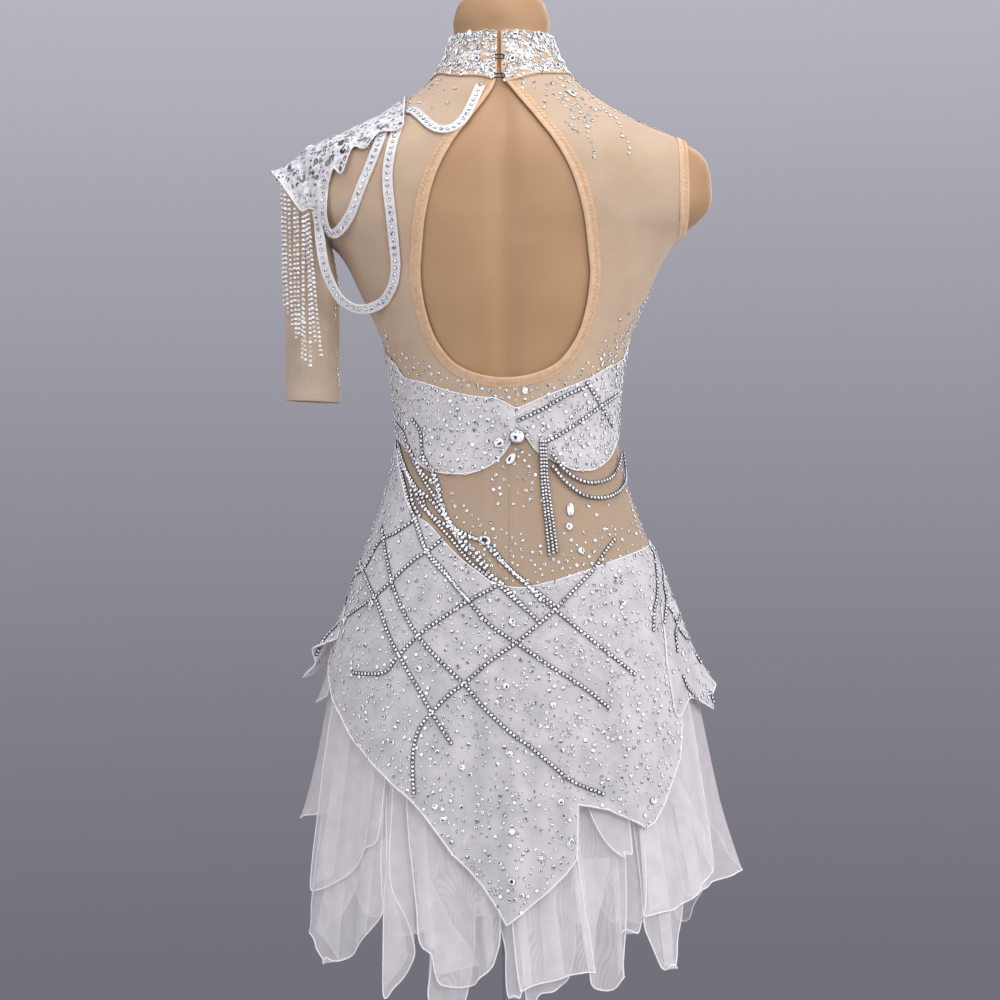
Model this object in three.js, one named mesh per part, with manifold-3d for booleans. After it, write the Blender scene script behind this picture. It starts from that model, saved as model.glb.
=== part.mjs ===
// Figure skating dress with an open back, worn by a limbless dress form on a round stand.
// Millimetres, +Z up. The open back faces -Y, the wearer's right side is +X, and z = 0 is the floor.
// A turn is an angle in degrees round the upright axis: 0 centre back, 90 right side, 180 front.
import * as THREE from 'three';
import { mergeVertices } from 'three/addons/utils/BufferGeometryUtils.js';
import Module from 'manifold-3d';

const wasm = await Module();
wasm.setup();

// Driving dimensions
const SEAM = 0.3;
const STAND = { baseRadius: 175, baseHeight: 14, poleRadius: 12.5, socketRadius: 38, socketHeight: 12 };
const FORM_BOTTOM = 740;
const ARMHOLE_X = 174;
const ARMPIT_Z = 1290;
const PETAL_TOP = 862;
const COLLAR_TOP = 1442;
const SLIT = { turn: -3, halfGap: 2 };
const BINDING_WIDTH = 9.5;
const COLLAR_BINDING_WIDTH = 5;
const ARMHOLE_BINDING_WIDTH = 7.5;
const STRAP_WIDTH = 10;

// Height of each layer's inner face over the form, and the thickness of its wall
const LAYER = {
  nude: { inner: 1.9, wall: 1.0 },
  binding: { inner: 1.9, wall: 1.5 },
  lace: { inner: 1.8, wall: 1.7 },
  white: { inner: 3.9, wall: 1.2 },
  sleeve: { inner: 2.7, wall: 1.0 },
  strap: { inner: 4.0, wall: 1.2 },
  cap: { inner: 6.8, wall: 1.3 },
};

// Sections of the dress form: half width, depth behind and in front, shift forward, and the power of
// the superellipse
const FORM = [
  { z: 740, half: 162, back: 112, front: 92, ahead: 0, power: 2.3 },
  { z: 790, half: 167, back: 120, front: 99, ahead: 0, power: 2.3 },
  { z: 840, half: 166, back: 121, front: 98, ahead: 0, power: 2.3 },
  { z: 880, half: 158, back: 117, front: 95, ahead: 0, power: 2.3 },
  { z: 920, half: 143, back: 108, front: 91, ahead: 0, power: 2.3 },
  { z: 950, half: 131, back: 99, front: 88, ahead: 0, power: 2.3 },
  { z: 980, half: 120, back: 90, front: 86, ahead: 0, power: 2.3 },
  { z: 1010, half: 112, back: 83, front: 85, ahead: 0, power: 2.3 },
  { z: 1040, half: 107.5, back: 80, front: 85, ahead: 0, power: 2.3 },
  { z: 1070, half: 107, back: 81, front: 89, ahead: 0, power: 2.3 },
  { z: 1100, half: 110, back: 84, front: 98, ahead: 0, power: 2.3 },
  { z: 1130, half: 117, back: 88, front: 110, ahead: 0, power: 2.3 },
  { z: 1160, half: 129, back: 92, front: 120, ahead: 0, power: 2.35 },
  { z: 1190, half: 143, back: 96, front: 121, ahead: 0, power: 2.4 },
  { z: 1218, half: 156, back: 98, front: 115, ahead: 0, power: 2.4 },
  { z: 1240, half: 173, back: 99, front: 108, ahead: 0, power: 2.4 },
  { z: 1255, half: 194, back: 100, front: 102, ahead: 0, power: 2.4 },
  { z: 1270, half: 206, back: 100, front: 96, ahead: 0, power: 2.4 },
  { z: 1290, half: 207, back: 99, front: 88, ahead: 0, power: 2.4 },
  { z: 1315, half: 203, back: 95, front: 79, ahead: 0, power: 2.4 },
  { z: 1330, half: 192, back: 91, front: 74, ahead: 0, power: 2.35 },
  { z: 1342, half: 172, back: 87, front: 70, ahead: 0, power: 2.3 },
  { z: 1355, half: 146, back: 82, front: 66, ahead: 1, power: 2.2 },
  { z: 1368, half: 121, back: 76, front: 62, ahead: 3, power: 2.15 },
  { z: 1383, half: 97, back: 68, front: 58, ahead: 5, power: 2.1 },
  { z: 1395, half: 80, back: 62, front: 55, ahead: 7, power: 2.1 },
  { z: 1408, half: 65, back: 56, front: 52, ahead: 9, power: 2.05 },
  { z: 1422, half: 55, back: 51, front: 49, ahead: 11, power: 2 },
  { z: 1440, half: 48.5, back: 47, front: 47, ahead: 13, power: 2 },
  { z: 1460, half: 45, back: 45, front: 45, ahead: 15, power: 2 },
  { z: 1472, half: 43, back: 44, front: 44, ahead: 16, power: 2 },
];

// Heights of the form's rows, with the shrink that rounds its two ends
const FORM_ROWS = [
  [740, 0.94], [746, 0.985], [760, 1], [800, 1], [840, 1], [866, 1], [890, 1], [920, 1], [950, 1],
  [980, 1], [1010, 1], [1040, 1], [1070, 1], [1100, 1], [1130, 1], [1160, 1], [1190, 1], [1218, 1],
  [1232, 1], [1240, 1], [1247, 1], [1255, 1], [1270, 1], [1292, 1], [1315, 1], [1330, 1], [1342, 1],
  [1355, 1], [1368, 1], [1383, 1], [1395, 1], [1408, 1], [1422, 1], [1442, 1], [1470, 1], [1479, 0.95],
  [1484, 0.82],
];

// Outer sections of the draped skirt below the hips
const DRAPE_TOP = 900;
const DRAPE = [
  { z: 480, half: 222, back: 182, front: 162, ahead: 0, power: 2.3 },
  { z: 540, half: 219, back: 177, front: 157, ahead: 0, power: 2.3 },
  { z: 580, half: 217, back: 172, front: 152, ahead: 0, power: 2.3 },
  { z: 620, half: 213, back: 167, front: 147, ahead: 0, power: 2.3 },
  { z: 660, half: 208, back: 161, front: 141, ahead: 0, power: 2.3 },
  { z: 700, half: 203, back: 155, front: 134, ahead: 0, power: 2.3 },
  { z: 740, half: 197, back: 149, front: 127, ahead: 0, power: 2.3 },
  { z: 780, half: 190, back: 142, front: 120, ahead: 0, power: 2.3 },
  { z: 820, half: 181, back: 134, front: 111, ahead: 0, power: 2.3 },
  { z: 850, half: 172, back: 127, front: 104, ahead: 0, power: 2.3 },
  { z: 875, half: 163.5, back: 121.5, front: 99.5, ahead: 0, power: 2.3 },
];

// Folds of the skirt: waves round the hem that every layer shares, so that the layers nest
const FOLD = { start: 840, full: 530, depth: 7 };
const FOLD_WAVES = [
  { count: 9, share: 0.6, phase: 0.7 },
  { count: 17, share: 0.4, phase: 2.1 },
];
const PETAL = {
  wall: 1.0, pitchTop: 1.45, pitchHem: 4.9, spreadFrom: 855, spreadTo: 680, lift: 0.95, flapGap: 0.5,
};

const radians = THREE.MathUtils.degToRad;
const mix = THREE.MathUtils.lerp;

// Smooth interpolation of every column of a section table at height z
function sectionAt(table, z) {
  const last = table.length - 1;
  const height = THREE.MathUtils.clamp(z, table[0].z, table[last].z);
  let i = 0;
  while (i < last - 1 && table[i + 1].z < height) i += 1;
  const step = table[i + 1].z - table[i].z;
  const u = (height - table[i].z) / step;
  const slope = (key, k) => {
    const a = table[Math.max(k - 1, 0)];
    const b = table[Math.min(k + 1, last)];
    return (b[key] - a[key]) / (b.z - a.z) * step;
  };
  const section = {};
  for (const key of ['half', 'back', 'front', 'ahead', 'power']) {
    const [p, q] = [table[i][key], table[i + 1][key]];
    const [m, n] = [slope(key, i), slope(key, i + 1)];
    section[key] = (2 * u ** 3 - 3 * u ** 2 + 1) * p + (u ** 3 - 2 * u ** 2 + u) * m
      + (3 * u ** 2 - 2 * u ** 3) * q + (u ** 3 - u ** 2) * n;
  }
  return section;
}

const grown = (section, by) => ({
  ...section, half: section.half + by, back: section.back + by, front: section.front + by,
});

function onSection(section, turn, z) {
  const side = Math.sin(radians(turn));
  const rear = Math.cos(radians(turn));
  const depth = rear > 0 ? section.back : section.front;
  const sum = Math.abs(side / section.half) ** section.power + Math.abs(rear / depth) ** section.power;
  const radius = sum ** (-1 / section.power);
  return new THREE.Vector3(radius * side, section.ahead - radius * rear, z);
}

const onForm = (turn, z) => onSection(sectionAt(FORM, z), turn, z);

// Point over the form, moved out along the surface's own normal
function overForm(turn, z, out) {
  const point = onForm(turn, z);
  const across = onForm(turn + 1, z).sub(onForm(turn - 1, z));
  const up = onForm(turn, z + 1).sub(onForm(turn, z - 1));
  return point.addScaledVector(across.cross(up).normalize(), out);
}

// Turn at which the back or front of the form reaches a given x
function turnAtX(x, z, front) {
  const section = sectionAt(FORM, z);
  const share = Math.min(Math.abs(x) / section.half, 1);
  const depth = (front ? section.front : section.back) * (1 - share ** section.power) ** (1 / section.power);
  const turn = THREE.MathUtils.radToDeg(Math.atan2(Math.abs(x), depth));
  return front ? 180 - turn : turn;
}

// Straight interpolation in a table whose rows are [position, value]
function tableAt(table, at) {
  if (at <= table[0][0]) return table[0][1];
  for (let i = 1; i < table.length; i += 1) {
    const [a, b] = [table[i - 1], table[i]];
    if (at <= b[0]) return mix(a[1], b[1], (at - a[0]) / (b[0] - a[0]));
  }
  return table[table.length - 1][1];
}

// Column positions: the ends, the table's own points between them, and more where the steps are long
function columnTurns(from, to, longest, ...tables) {
  const marks = tables.flat().map((row) => row[0]).filter((turn) => turn > from + 1.2 && turn < to - 1.2);
  const turns = [from];
  for (const mark of [...marks.sort((a, b) => a - b), to]) {
    const start = turns[turns.length - 1];
    if (mark !== to && mark - start < 1.6) continue;
    const cells = Math.max(Math.ceil((mark - start) / longest), 1);
    for (let i = 1; i <= cells; i += 1) turns.push(mix(start, mark, i / cells));
  }
  return turns;
}

// Closed wall from a grid: place(i, j, side) gives the point of its inner (0) or outer (1) face
function wall(columns, rows, place, round = false) {
  const positions = [];
  const index = [];
  const width = round ? columns : columns + 1;
  for (const side of [0, 1]) {
    for (let j = 0; j <= rows; j += 1) {
      for (let i = 0; i < width; i += 1) positions.push(...place(i, j, side).toArray());
    }
  }
  const id = (i, j, side) => side * width * (rows + 1) + j * width + (i % width);
  const quad = (a, b, c, d) => index.push(a, b, c, a, c, d);
  for (let i = 0; i < columns; i += 1) {
    for (let j = 0; j < rows; j += 1) {
      quad(id(i, j, 1), id(i + 1, j, 1), id(i + 1, j + 1, 1), id(i, j + 1, 1));
      quad(id(i, j, 0), id(i, j + 1, 0), id(i + 1, j + 1, 0), id(i + 1, j, 0));
    }
    quad(id(i, 0, 0), id(i + 1, 0, 0), id(i + 1, 0, 1), id(i, 0, 1));
    quad(id(i, rows, 0), id(i, rows, 1), id(i + 1, rows, 1), id(i + 1, rows, 0));
  }
  for (let j = 0; j < rows && !round; j += 1) {
    quad(id(0, j, 0), id(0, j, 1), id(0, j + 1, 1), id(0, j + 1, 0));
    quad(id(columns, j, 0), id(columns, j + 1, 0), id(columns, j + 1, 1), id(columns, j, 1));
  }
  return closed(positions, index);
}

// Indexed geometry whose triangles face out
function closed(positions, index) {
  let volume = 0;
  const corner = (k) => new THREE.Vector3().fromArray(positions, 3 * k);
  for (let t = 0; t < index.length; t += 3) {
    volume += corner(index[t]).dot(corner(index[t + 1]).cross(corner(index[t + 2])));
  }
  if (volume < 0) index.reverse();
  const geometry = new THREE.BufferGeometry();
  geometry.setAttribute('position', new THREE.Float32BufferAttribute(positions, 3));
  geometry.setIndex(index);
  geometry.computeVertexNormals();
  return geometry;
}

// Closed bar of even section along a list of points
function rod(points, radius, sides = 4) {
  const positions = [];
  const index = [];
  points.forEach((point, k) => {
    const along = points[Math.min(k + 1, points.length - 1)].clone().sub(points[Math.max(k - 1, 0)]);
    along.normalize();
    const guide = Math.abs(along.y) > 0.9 ? new THREE.Vector3(0, 0, 1) : new THREE.Vector3(0, 1, 0);
    const u = guide.clone().cross(along).normalize();
    const v = along.clone().cross(u);
    for (let s = 0; s < sides; s += 1) {
      const angle = 2 * Math.PI * s / sides;
      const offset = u.clone().multiplyScalar(Math.cos(angle)).addScaledVector(v, Math.sin(angle));
      positions.push(...point.clone().addScaledVector(offset, radius).toArray());
    }
  });
  for (let k = 0; k < points.length - 1; k += 1) {
    for (let s = 0; s < sides; s += 1) {
      const [a, b] = [k * sides + s, k * sides + (s + 1) % sides];
      index.push(a, b, b + sides, a, b + sides, a + sides);
    }
  }
  const end = (points.length - 1) * sides;
  for (let s = 1; s < sides - 1; s += 1) {
    index.push(0, s + 1, s, end, end + s, end + s + 1);
  }
  return closed(positions, index);
}

// Several closed geometries joined into one body
function joined(geometries) {
  const solids = geometries.map((geometry) => {
    const bare = geometry.clone();
    bare.deleteAttribute('normal');
    bare.deleteAttribute('uv');
    const merged = mergeVertices(bare, 1e-4);
    return new wasm.Manifold(new wasm.Mesh({
      numProp: 3,
      vertProperties: Float32Array.from(merged.attributes.position.array),
      triVerts: Uint32Array.from(merged.index.array),
    }));
  });
  const mesh = solids.reduce((sum, solid) => sum.add(solid)).getMesh();
  return closed(Array.from(mesh.vertProperties), Array.from(mesh.triVerts));
}

// Materials
const finish = (color, roughness, metalness = 0) => () => (
  new THREE.MeshStandardMaterial({ color, roughness, metalness })
);
const skinFinish = finish(0xc1986f, 0.55);
const standFinish = finish(0xb8babd, 0.3, 0.9);
const nudeFinish = finish(0xc6ae94, 0.8);
const peachFinish = finish(0xe4bc94, 0.7);
const whiteFinish = finish(0xe2e2e8, 0.6);
const chiffonFinish = finish(0xe9e6ea, 0.5);
const satinFinish = finish(0xf0f0f4, 0.4);
const stoneFinish = finish(0xd8dde6, 0.1, 0.3);
const chainFinish = finish(0xa9acb2, 0.25, 0.9);

const dress = new THREE.Group();
function piece(name, geometry, material) {
  const mesh = new THREE.Mesh(geometry, material());
  mesh.name = name;
  dress.add(mesh);
}

// Stand: weighted round base, pole and socket
function stand() {
  const { baseRadius: r, baseHeight: h, poleRadius, socketRadius, socketHeight } = STAND;
  const rim = [[0, 0], [r, 0], [r, h * 0.5], [r - 6, h * 0.8], [r * 0.5, h], [0, h]];
  const base = new THREE.LatheGeometry(rim.map(([x, y]) => new THREE.Vector2(x, y)), 32);
  base.rotateX(Math.PI / 2);
  piece('stand_base', base, standFinish);
  const socketBottom = FORM_BOTTOM - SEAM - socketHeight;
  const poleHeight = socketBottom - h - 2 * SEAM;
  const pole = new THREE.CylinderGeometry(poleRadius, poleRadius, poleHeight, 16);
  pole.rotateX(Math.PI / 2).translate(0, 0, h + SEAM + poleHeight / 2);
  piece('stand_pole', pole, standFinish);
  const socket = new THREE.CylinderGeometry(socketRadius, socketRadius * 0.7, socketHeight, 24);
  socket.rotateX(Math.PI / 2).translate(0, 0, socketBottom + socketHeight / 2);
  piece('stand_socket', socket, standFinish);
}

// Dress form: torso, neck and two shoulder stumps as one smooth body
function dressForm() {
  const sides = 32;
  const positions = [];
  const index = [];
  for (const [z, shrink] of FORM_ROWS) {
    const section = sectionAt(FORM, z);
    for (const key of ['half', 'back', 'front']) section[key] *= shrink;
    for (let i = 0; i < sides; i += 1) positions.push(...onSection(section, 360 * i / sides, z).toArray());
  }
  const rows = FORM_ROWS.length;
  for (let j = 0; j < rows - 1; j += 1) {
    for (let i = 0; i < sides; i += 1) {
      const [a, b] = [j * sides + i, j * sides + (i + 1) % sides];
      index.push(a, b, b + sides, a, b + sides, a + sides);
    }
  }
  const bottom = rows * sides;
  positions.push(0, 0, FORM_ROWS[0][0], 0, sectionAt(FORM, COLLAR_TOP + 30).ahead, FORM_ROWS[rows - 1][0]);
  for (let i = 0; i < sides; i += 1) {
    const next = (i + 1) % sides;
    index.push(bottom, next, i, bottom + 1, (rows - 1) * sides + i, (rows - 1) * sides + next);
  }
  piece('dress_form', closed(positions, index), skinFinish);
}

// Lower edge of the collar, as [turn, z]
const COLLAR_EDGE = [[0, 1389], [30, 1395], [60, 1401], [90, 1402], [120, 1398], [180, 1386]];
const collarEdge = (turn) => tableAt(COLLAR_EDGE, 180 - Math.abs(180 - ((turn + 360) % 360)));

// Edge of the back opening from the top of the collar, down its left side, round and up, as [turn, z]
const OPENING = [
  [SLIT.turn - SLIT.halfGap, COLLAR_TOP], [SLIT.turn - SLIT.halfGap, 1420],
  [SLIT.turn - SLIT.halfGap, 1402], [-5.5, 1392], [-9, 1380], [-16.5, 1363], [-22, 1349], [-27, 1333],
  [-30.5, 1317], [-33.5, 1300], [-36, 1280], [-38, 1260], [-40, 1241], [-41.5, 1222], [-43, 1203],
  [-43.5, 1185], [-43.5, 1167], [-42.5, 1150], [-40.5, 1137], [-37, 1125], [-32, 1114.5], [-25, 1107],
  [-16, 1102], [-7, 1099.5], [0, 1099], [7, 1099.5], [16, 1102], [25, 1107], [32, 1114.5], [37, 1125],
  [40.5, 1137], [42.5, 1150], [43.5, 1167], [43.5, 1185], [43, 1203], [41.5, 1222], [40, 1241],
  [38, 1260], [36, 1280], [33.5, 1300], [30.5, 1317], [27, 1333], [22, 1349], [16.5, 1363], [8, 1380],
  [1, 1392], [SLIT.turn + SLIT.halfGap, 1402], [SLIT.turn + SLIT.halfGap, 1420],
  [SLIT.turn + SLIT.halfGap, COLLAR_TOP],
];

// Moves the points of a [turn, z] path sideways over the form, by width(z) millimetres to its right
function movedAside(path, width) {
  return path.map(([turn, z], k) => {
    const [a, b] = [path[Math.max(k - 1, 0)], path[Math.min(k + 1, path.length - 1)]];
    const degree = radians(1) * Math.hypot(...onForm(turn, z).toArray().slice(0, 2));
    const along = new THREE.Vector2((b[0] - a[0]) * degree, b[1] - a[1]).normalize();
    const reach = width(z);
    return [turn + along.y * reach / degree, z - along.x * reach];
  });
}
const bindingWidth = (z) => (
  mix(BINDING_WIDTH, COLLAR_BINDING_WIDTH, THREE.MathUtils.smoothstep(z, 1360, 1400))
);
const OPENING_RIM = movedAside(OPENING, bindingWidth)
  .map(([turn, z]) => [turn, Math.min(z, COLLAR_TOP)]);
const LOWEST = OPENING.findIndex(([turn]) => turn === 0);

// Degrees that the back panels keep off the binding, more where its lower edge runs nearly level
const RIM_CLEAR = { levelBelow: 1110, level: 2.4, upright: 1.1, middle: 0.15 };

// Turn at which the left or right back panel meets the binding at height z
function rimTurn(z, right) {
  const half = right ? OPENING_RIM.slice(LOWEST) : OPENING_RIM.slice(0, LOWEST + 1).reverse();
  const rim = half.map(([turn, height]) => [height, turn]);
  const side = right ? 1 : -1;
  if (z <= rim[0][0] - SEAM) return side * RIM_CLEAR.middle;
  return tableAt(rim, z) + side * (z < RIM_CLEAR.levelBelow ? RIM_CLEAR.level : RIM_CLEAR.upright);
}

// Side and armhole edge of the nude panels at height z
function sideTurn(z, front) {
  const opening = sectionAt(FORM, z).half > ARMHOLE_X - 2;
  if (!opening) return front ? 90.1 : 89.9;
  return turnAtX(ARMHOLE_X - 2.5, z, front);
}

// Heights of the nude panels' rows, which close up at the opening's foot and over the shoulder
const NUDE_ROWS = [
  866, 890, 920, 950, 980, 1010, 1040, 1070, 1088, 1090.4, 1094.5, 1101.5, 1112, 1130, 1145, 1160, 1190,
  1218, 1232, 1238.4, 1240, 1243, 1247, 1255, 1270, 1292, 1315, 1330, 1336, 1340, 1342, 1355, 1368, 1383,
];
const OPENING_ROWS = [1088, 1090.4, 1094.5, 1112];

// The front panel rises over the back ones where they meet at the shoulder
const SHOULDER_EASE = { from: 1226, full: 1250, out: 2 };

function nudePanel(name, turnsAt, columns, rows, rise = 0) {
  const { inner, wall: thick } = LAYER.nude;
  piece(name, wall(columns, rows.length, (i, j, side) => {
    const level = Math.min(j, rows.length - 1);
    const [from, to] = turnsAt(rows[level]);
    const turn = mix(from, to, i / columns);
    const z = j === rows.length ? collarEdge(turn) - 2 * SEAM : rows[level];
    const raised = THREE.MathUtils.smoothstep(z, SHOULDER_EASE.from, SHOULDER_EASE.full);
    return overForm(turn, z, inner + rise * raised + side * thick);
  }), nudeFinish);
}

function nudePanels() {
  nudePanel('back_right', (z) => [rimTurn(z, true), sideTurn(z, false)], 8, NUDE_ROWS);
  nudePanel('back_left', (z) => [rimTurn(z, false), -sideTurn(z, false)], 8, NUDE_ROWS);
  const frontRows = NUDE_ROWS.filter((z) => !OPENING_ROWS.includes(z));
  const frontTurns = (z) => [sideTurn(z, true), 360 - sideTurn(z, true)];
  nudePanel('front_panel', frontTurns, 16, frontRows, SHOULDER_EASE.out);
}

function collar() {
  const columns = 22;
  const rows = 2;
  const { inner, wall: thick } = LAYER.lace;
  piece('collar', wall(columns, rows, (i, j, side) => {
    const level = mix(collarEdge(0), COLLAR_TOP, j / rows);
    const turn = mix(rimTurn(level, true), 360 + rimTurn(level, false), i / columns);
    return overForm(turn, mix(collarEdge(turn), COLLAR_TOP, j / rows), inner + side * thick);
  }), whiteFinish);
}

// Folded strip along the edge of the back opening, up both sides of the collar slit
function openingBinding() {
  const { inner, wall: thick } = LAYER.binding;
  piece('opening_binding', wall(OPENING.length - 1, 1, (i, j, side) => {
    const turn = mix(OPENING[i][0], OPENING_RIM[i][0], j);
    const z = mix(OPENING[i][1], OPENING_RIM[i][1], j);
    return overForm(turn, z, inner + side * thick);
  }), peachFinish);
}

// Way along a ray out of the form, or 0 where the ray starts outside it
function formReach(origin, direction) {
  const inside = (r) => {
    const point = origin.clone().addScaledVector(direction, r);
    const section = sectionAt(FORM, point.z);
    const depth = point.y < section.ahead ? section.back : section.front;
    const sum = (Math.abs(point.x) / section.half) ** section.power
      + (Math.abs(point.y - section.ahead) / depth) ** section.power;
    return sum < 1;
  };
  if (!inside(0)) return 0;
  let high = 2;
  while (inside(high)) high += 2;
  let low = high - 2;
  for (let k = 0; k < 8; k += 1) {
    const middle = (low + high) / 2;
    if (inside(middle)) low = middle; else high = middle;
  }
  return low;
}

// Point on a slanted section of the arm: over the top at angle 0, behind at 90, at the armpit at 180
function armPoint(row, angle, gap, out) {
  const centre = new THREE.Vector3(row.x, 0, row.z);
  const spoke = new THREE.Vector3(row.topX - row.x, 0, row.topZ - row.z);
  spoke.multiplyScalar(Math.cos(radians(angle)));
  spoke.y = -row.depth * Math.sin(radians(angle));
  const length = spoke.length();
  spoke.normalize();
  const radius = Math.max(length, formReach(centre, spoke) + gap) + out;
  return centre.addScaledVector(spoke, radius);
}

// Sections of the left sleeve from the armhole to the hem: centre, point over the top, half depth
const SLEEVE = [
  { x: -174.6, z: 1291, topX: -174.6, topZ: 1320, depth: 30 },
  { x: -182, z: 1284, topX: -191, topZ: 1333, depth: 40 },
  { x: -188.5, z: 1270, topX: -207, topZ: 1319, depth: 54 },
  { x: -192, z: 1247, topX: -217, topZ: 1295, depth: 49 },
  { x: -193, z: 1218, topX: -220, topZ: 1265, depth: 41 },
  { x: -193, z: 1181, topX: -220, topZ: 1220, depth: 34 },
  { x: -193, z: 1135, topX: -220, topZ: 1160, depth: 29 },
  { x: -193.3, z: 1081.5, topX: -219.7, topZ: 1083, depth: 26 },
];

function sleeve() {
  const columns = 20;
  const { inner, wall: thick } = LAYER.sleeve;
  piece('sleeve_left', wall(columns, SLEEVE.length - 1, (i, j, side) => (
    armPoint(SLEEVE[j], 360 * i / columns, inner, side * thick)
  ), true), nudeFinish);
}

// Folded strip round the right armhole
function armholeBinding() {
  const columns = 24;
  const reaches = [ARMHOLE_X + SEAM, ARMHOLE_X + ARMHOLE_BINDING_WIDTH];
  const { inner, wall: thick } = LAYER.binding;
  piece('armhole_binding', wall(columns, 1, (i, j, side) => {
    const x = reaches[j];
    const row = { x, z: ARMPIT_Z, topX: x, topZ: ARMPIT_Z + 20, depth: 20 };
    return armPoint(row, 360 * i / columns, inner, side * thick);
  }, true), peachFinish);
}

// White sweetheart band: its back halves meet at one turn, and its front stands a little further out
const BAND = { meet: 6, frontEase: 0.8 };

// Upper and lower edges of the band as [turn, z]
const BAND_TOP_BACK = [
  [-90, 1130], [-72, 1117], [-65, 1102], [-52, 1096], [-33, 1085], [-18, 1080], [-9, 1079], [-1, 1074],
  [6, 1069], [14, 1073], [23, 1079], [34, 1086], [50, 1097], [62, 1108], [77, 1117], [90, 1130],
];
const BAND_FOOT_BACK = [
  [-90, 1050], [-75, 1041], [-63, 1028], [-55, 1016], [-47, 1009], [-38, 1006], [-28, 1005], [-19, 1008],
  [-11, 1014], [-4, 1023], [1, 1033], [6, 1046], [12, 1041], [19, 1027], [25, 1021], [36, 1011],
  [43, 1007], [50, 1007], [58, 1012], [67, 1022], [76, 1035], [90, 1050],
];
const BAND_TOP_FRONT = [
  [90, 1130], [105, 1150], [125, 1185], [145, 1206], [162, 1196], [180, 1172], [198, 1196], [215, 1206],
  [235, 1185], [255, 1150], [270, 1130],
];
const BAND_FOOT_FRONT = [
  [90, 1050], [120, 1044], [150, 1052], [180, 1066], [210, 1052], [240, 1044], [270, 1050],
];

function bandPiece(name, turns, top, foot, rows, ease = 0) {
  const { inner, wall: thick } = LAYER.white;
  piece(name, wall(turns.length - 1, rows, (i, j, side) => {
    const turn = turns[i];
    const z = mix(tableAt(foot, turn), tableAt(top, turn), j / rows);
    return overForm(turn, z, inner + ease + side * thick);
  }), whiteFinish);
}

function bands() {
  const leftTurns = columnTurns(-89.9, BAND.meet - 0.15, 8, BAND_FOOT_BACK);
  const rightTurns = columnTurns(BAND.meet + 0.15, 89.9, 8, BAND_FOOT_BACK);
  const frontTurns = columnTurns(90.1, 269.9, 10, BAND_TOP_FRONT);
  bandPiece('band_back_left', leftTurns, BAND_TOP_BACK, BAND_FOOT_BACK, 4);
  bandPiece('band_back_right', rightTurns, BAND_TOP_BACK, BAND_FOOT_BACK, 4);
  bandPiece('band_front', frontTurns, BAND_TOP_FRONT, BAND_FOOT_FRONT, 8, BAND.frontEase);
}

// Soft folds of the skirt at a turn and height
function fold(turn, z) {
  const grow = THREE.MathUtils.clamp((FOLD.start - z) / (FOLD.start - FOLD.full), 0, 1.2);
  const wave = FOLD_WAVES.reduce((sum, { count, share, phase }) => (
    sum + share * Math.sin(count * radians(turn) + phase)), 0);
  return FOLD.depth * grow * wave;
}

// Point of the drape that lies over the hips and hangs free below them
const DRAPE_TABLE = [...DRAPE, { z: DRAPE_TOP, ...grown(sectionAt(FORM, DRAPE_TOP), LAYER.white.inner) }];
function onDrape(turn, z, out) {
  if (z >= DRAPE_TOP) return overForm(turn, z, LAYER.white.inner + out);
  return onSection(grown(sectionAt(DRAPE_TABLE, z), out + fold(turn, z)), turn, z);
}

// White hip cloth: upper edge and handkerchief hem as [turn, z]
const HIP_TOP_BACK = [
  [-90, 1030], [-76, 1023], [-66, 1001], [-58, 979], [-51, 965], [-43, 957], [-34, 941], [-22, 920],
  [-15, 910], [-7, 899], [5, 895], [17, 899], [36, 910], [50, 919], [61, 925], [81, 933], [90, 936],
];
const HIP_HEM_BACK = [
  [-90, 843], [-75, 806], [-63, 774], [-56, 750], [-47, 729], [-36, 703], [-29, 684], [-20, 649],
  [-10, 618], [-5, 597], [-2.5, 583], [5, 600], [11, 614], [16, 627], [20, 642], [22, 692], [26, 690],
  [32, 686], [38, 676], [42, 668], [45, 672], [50, 691], [54, 708], [58, 730], [61, 757], [65, 795],
  [69, 845], [90, 850],
];
const HIP_TOP_FRONT = [
  [90, 936], [120, 918], [150, 898], [180, 895], [205, 915], [235, 965], [255, 1010], [270, 1030],
];
const HIP_HEM_FRONT = [
  [90, 850], [102, 836], [113, 775], [124, 700], [132, 645], [140, 668], [150, 715], [162, 742],
  [178, 700], [192, 648], [204, 612], [214, 650], [226, 712], [240, 768], [252, 824], [262, 842], [270, 843],
];

function hipPiece(name, turns, top, hem) {
  const heights = [0, 0.25, 0.48, 0.68, 0.85, 1];
  const { wall: thick } = LAYER.white;
  piece(name, wall(turns.length - 1, heights.length, (i, j, side) => {
    const turn = turns[i];
    const foot = tableAt(hem, turn);
    const crest = tableAt(top, turn);
    const joint = Math.max(mix(foot, crest, 0.5), Math.min(DRAPE_TOP, crest - 12));
    const z = j === heights.length ? crest : mix(foot, joint, heights[j]);
    return onDrape(turn, z, side * thick);
  }), whiteFinish);
}

function hips() {
  hipPiece('hip_back', columnTurns(-89.9, 89.9, 7, HIP_HEM_BACK), HIP_TOP_BACK, HIP_HEM_BACK);
  hipPiece('hip_front', columnTurns(90.1, 269.9, 7, HIP_HEM_FRONT), HIP_TOP_FRONT, HIP_HEM_FRONT);
}

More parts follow.
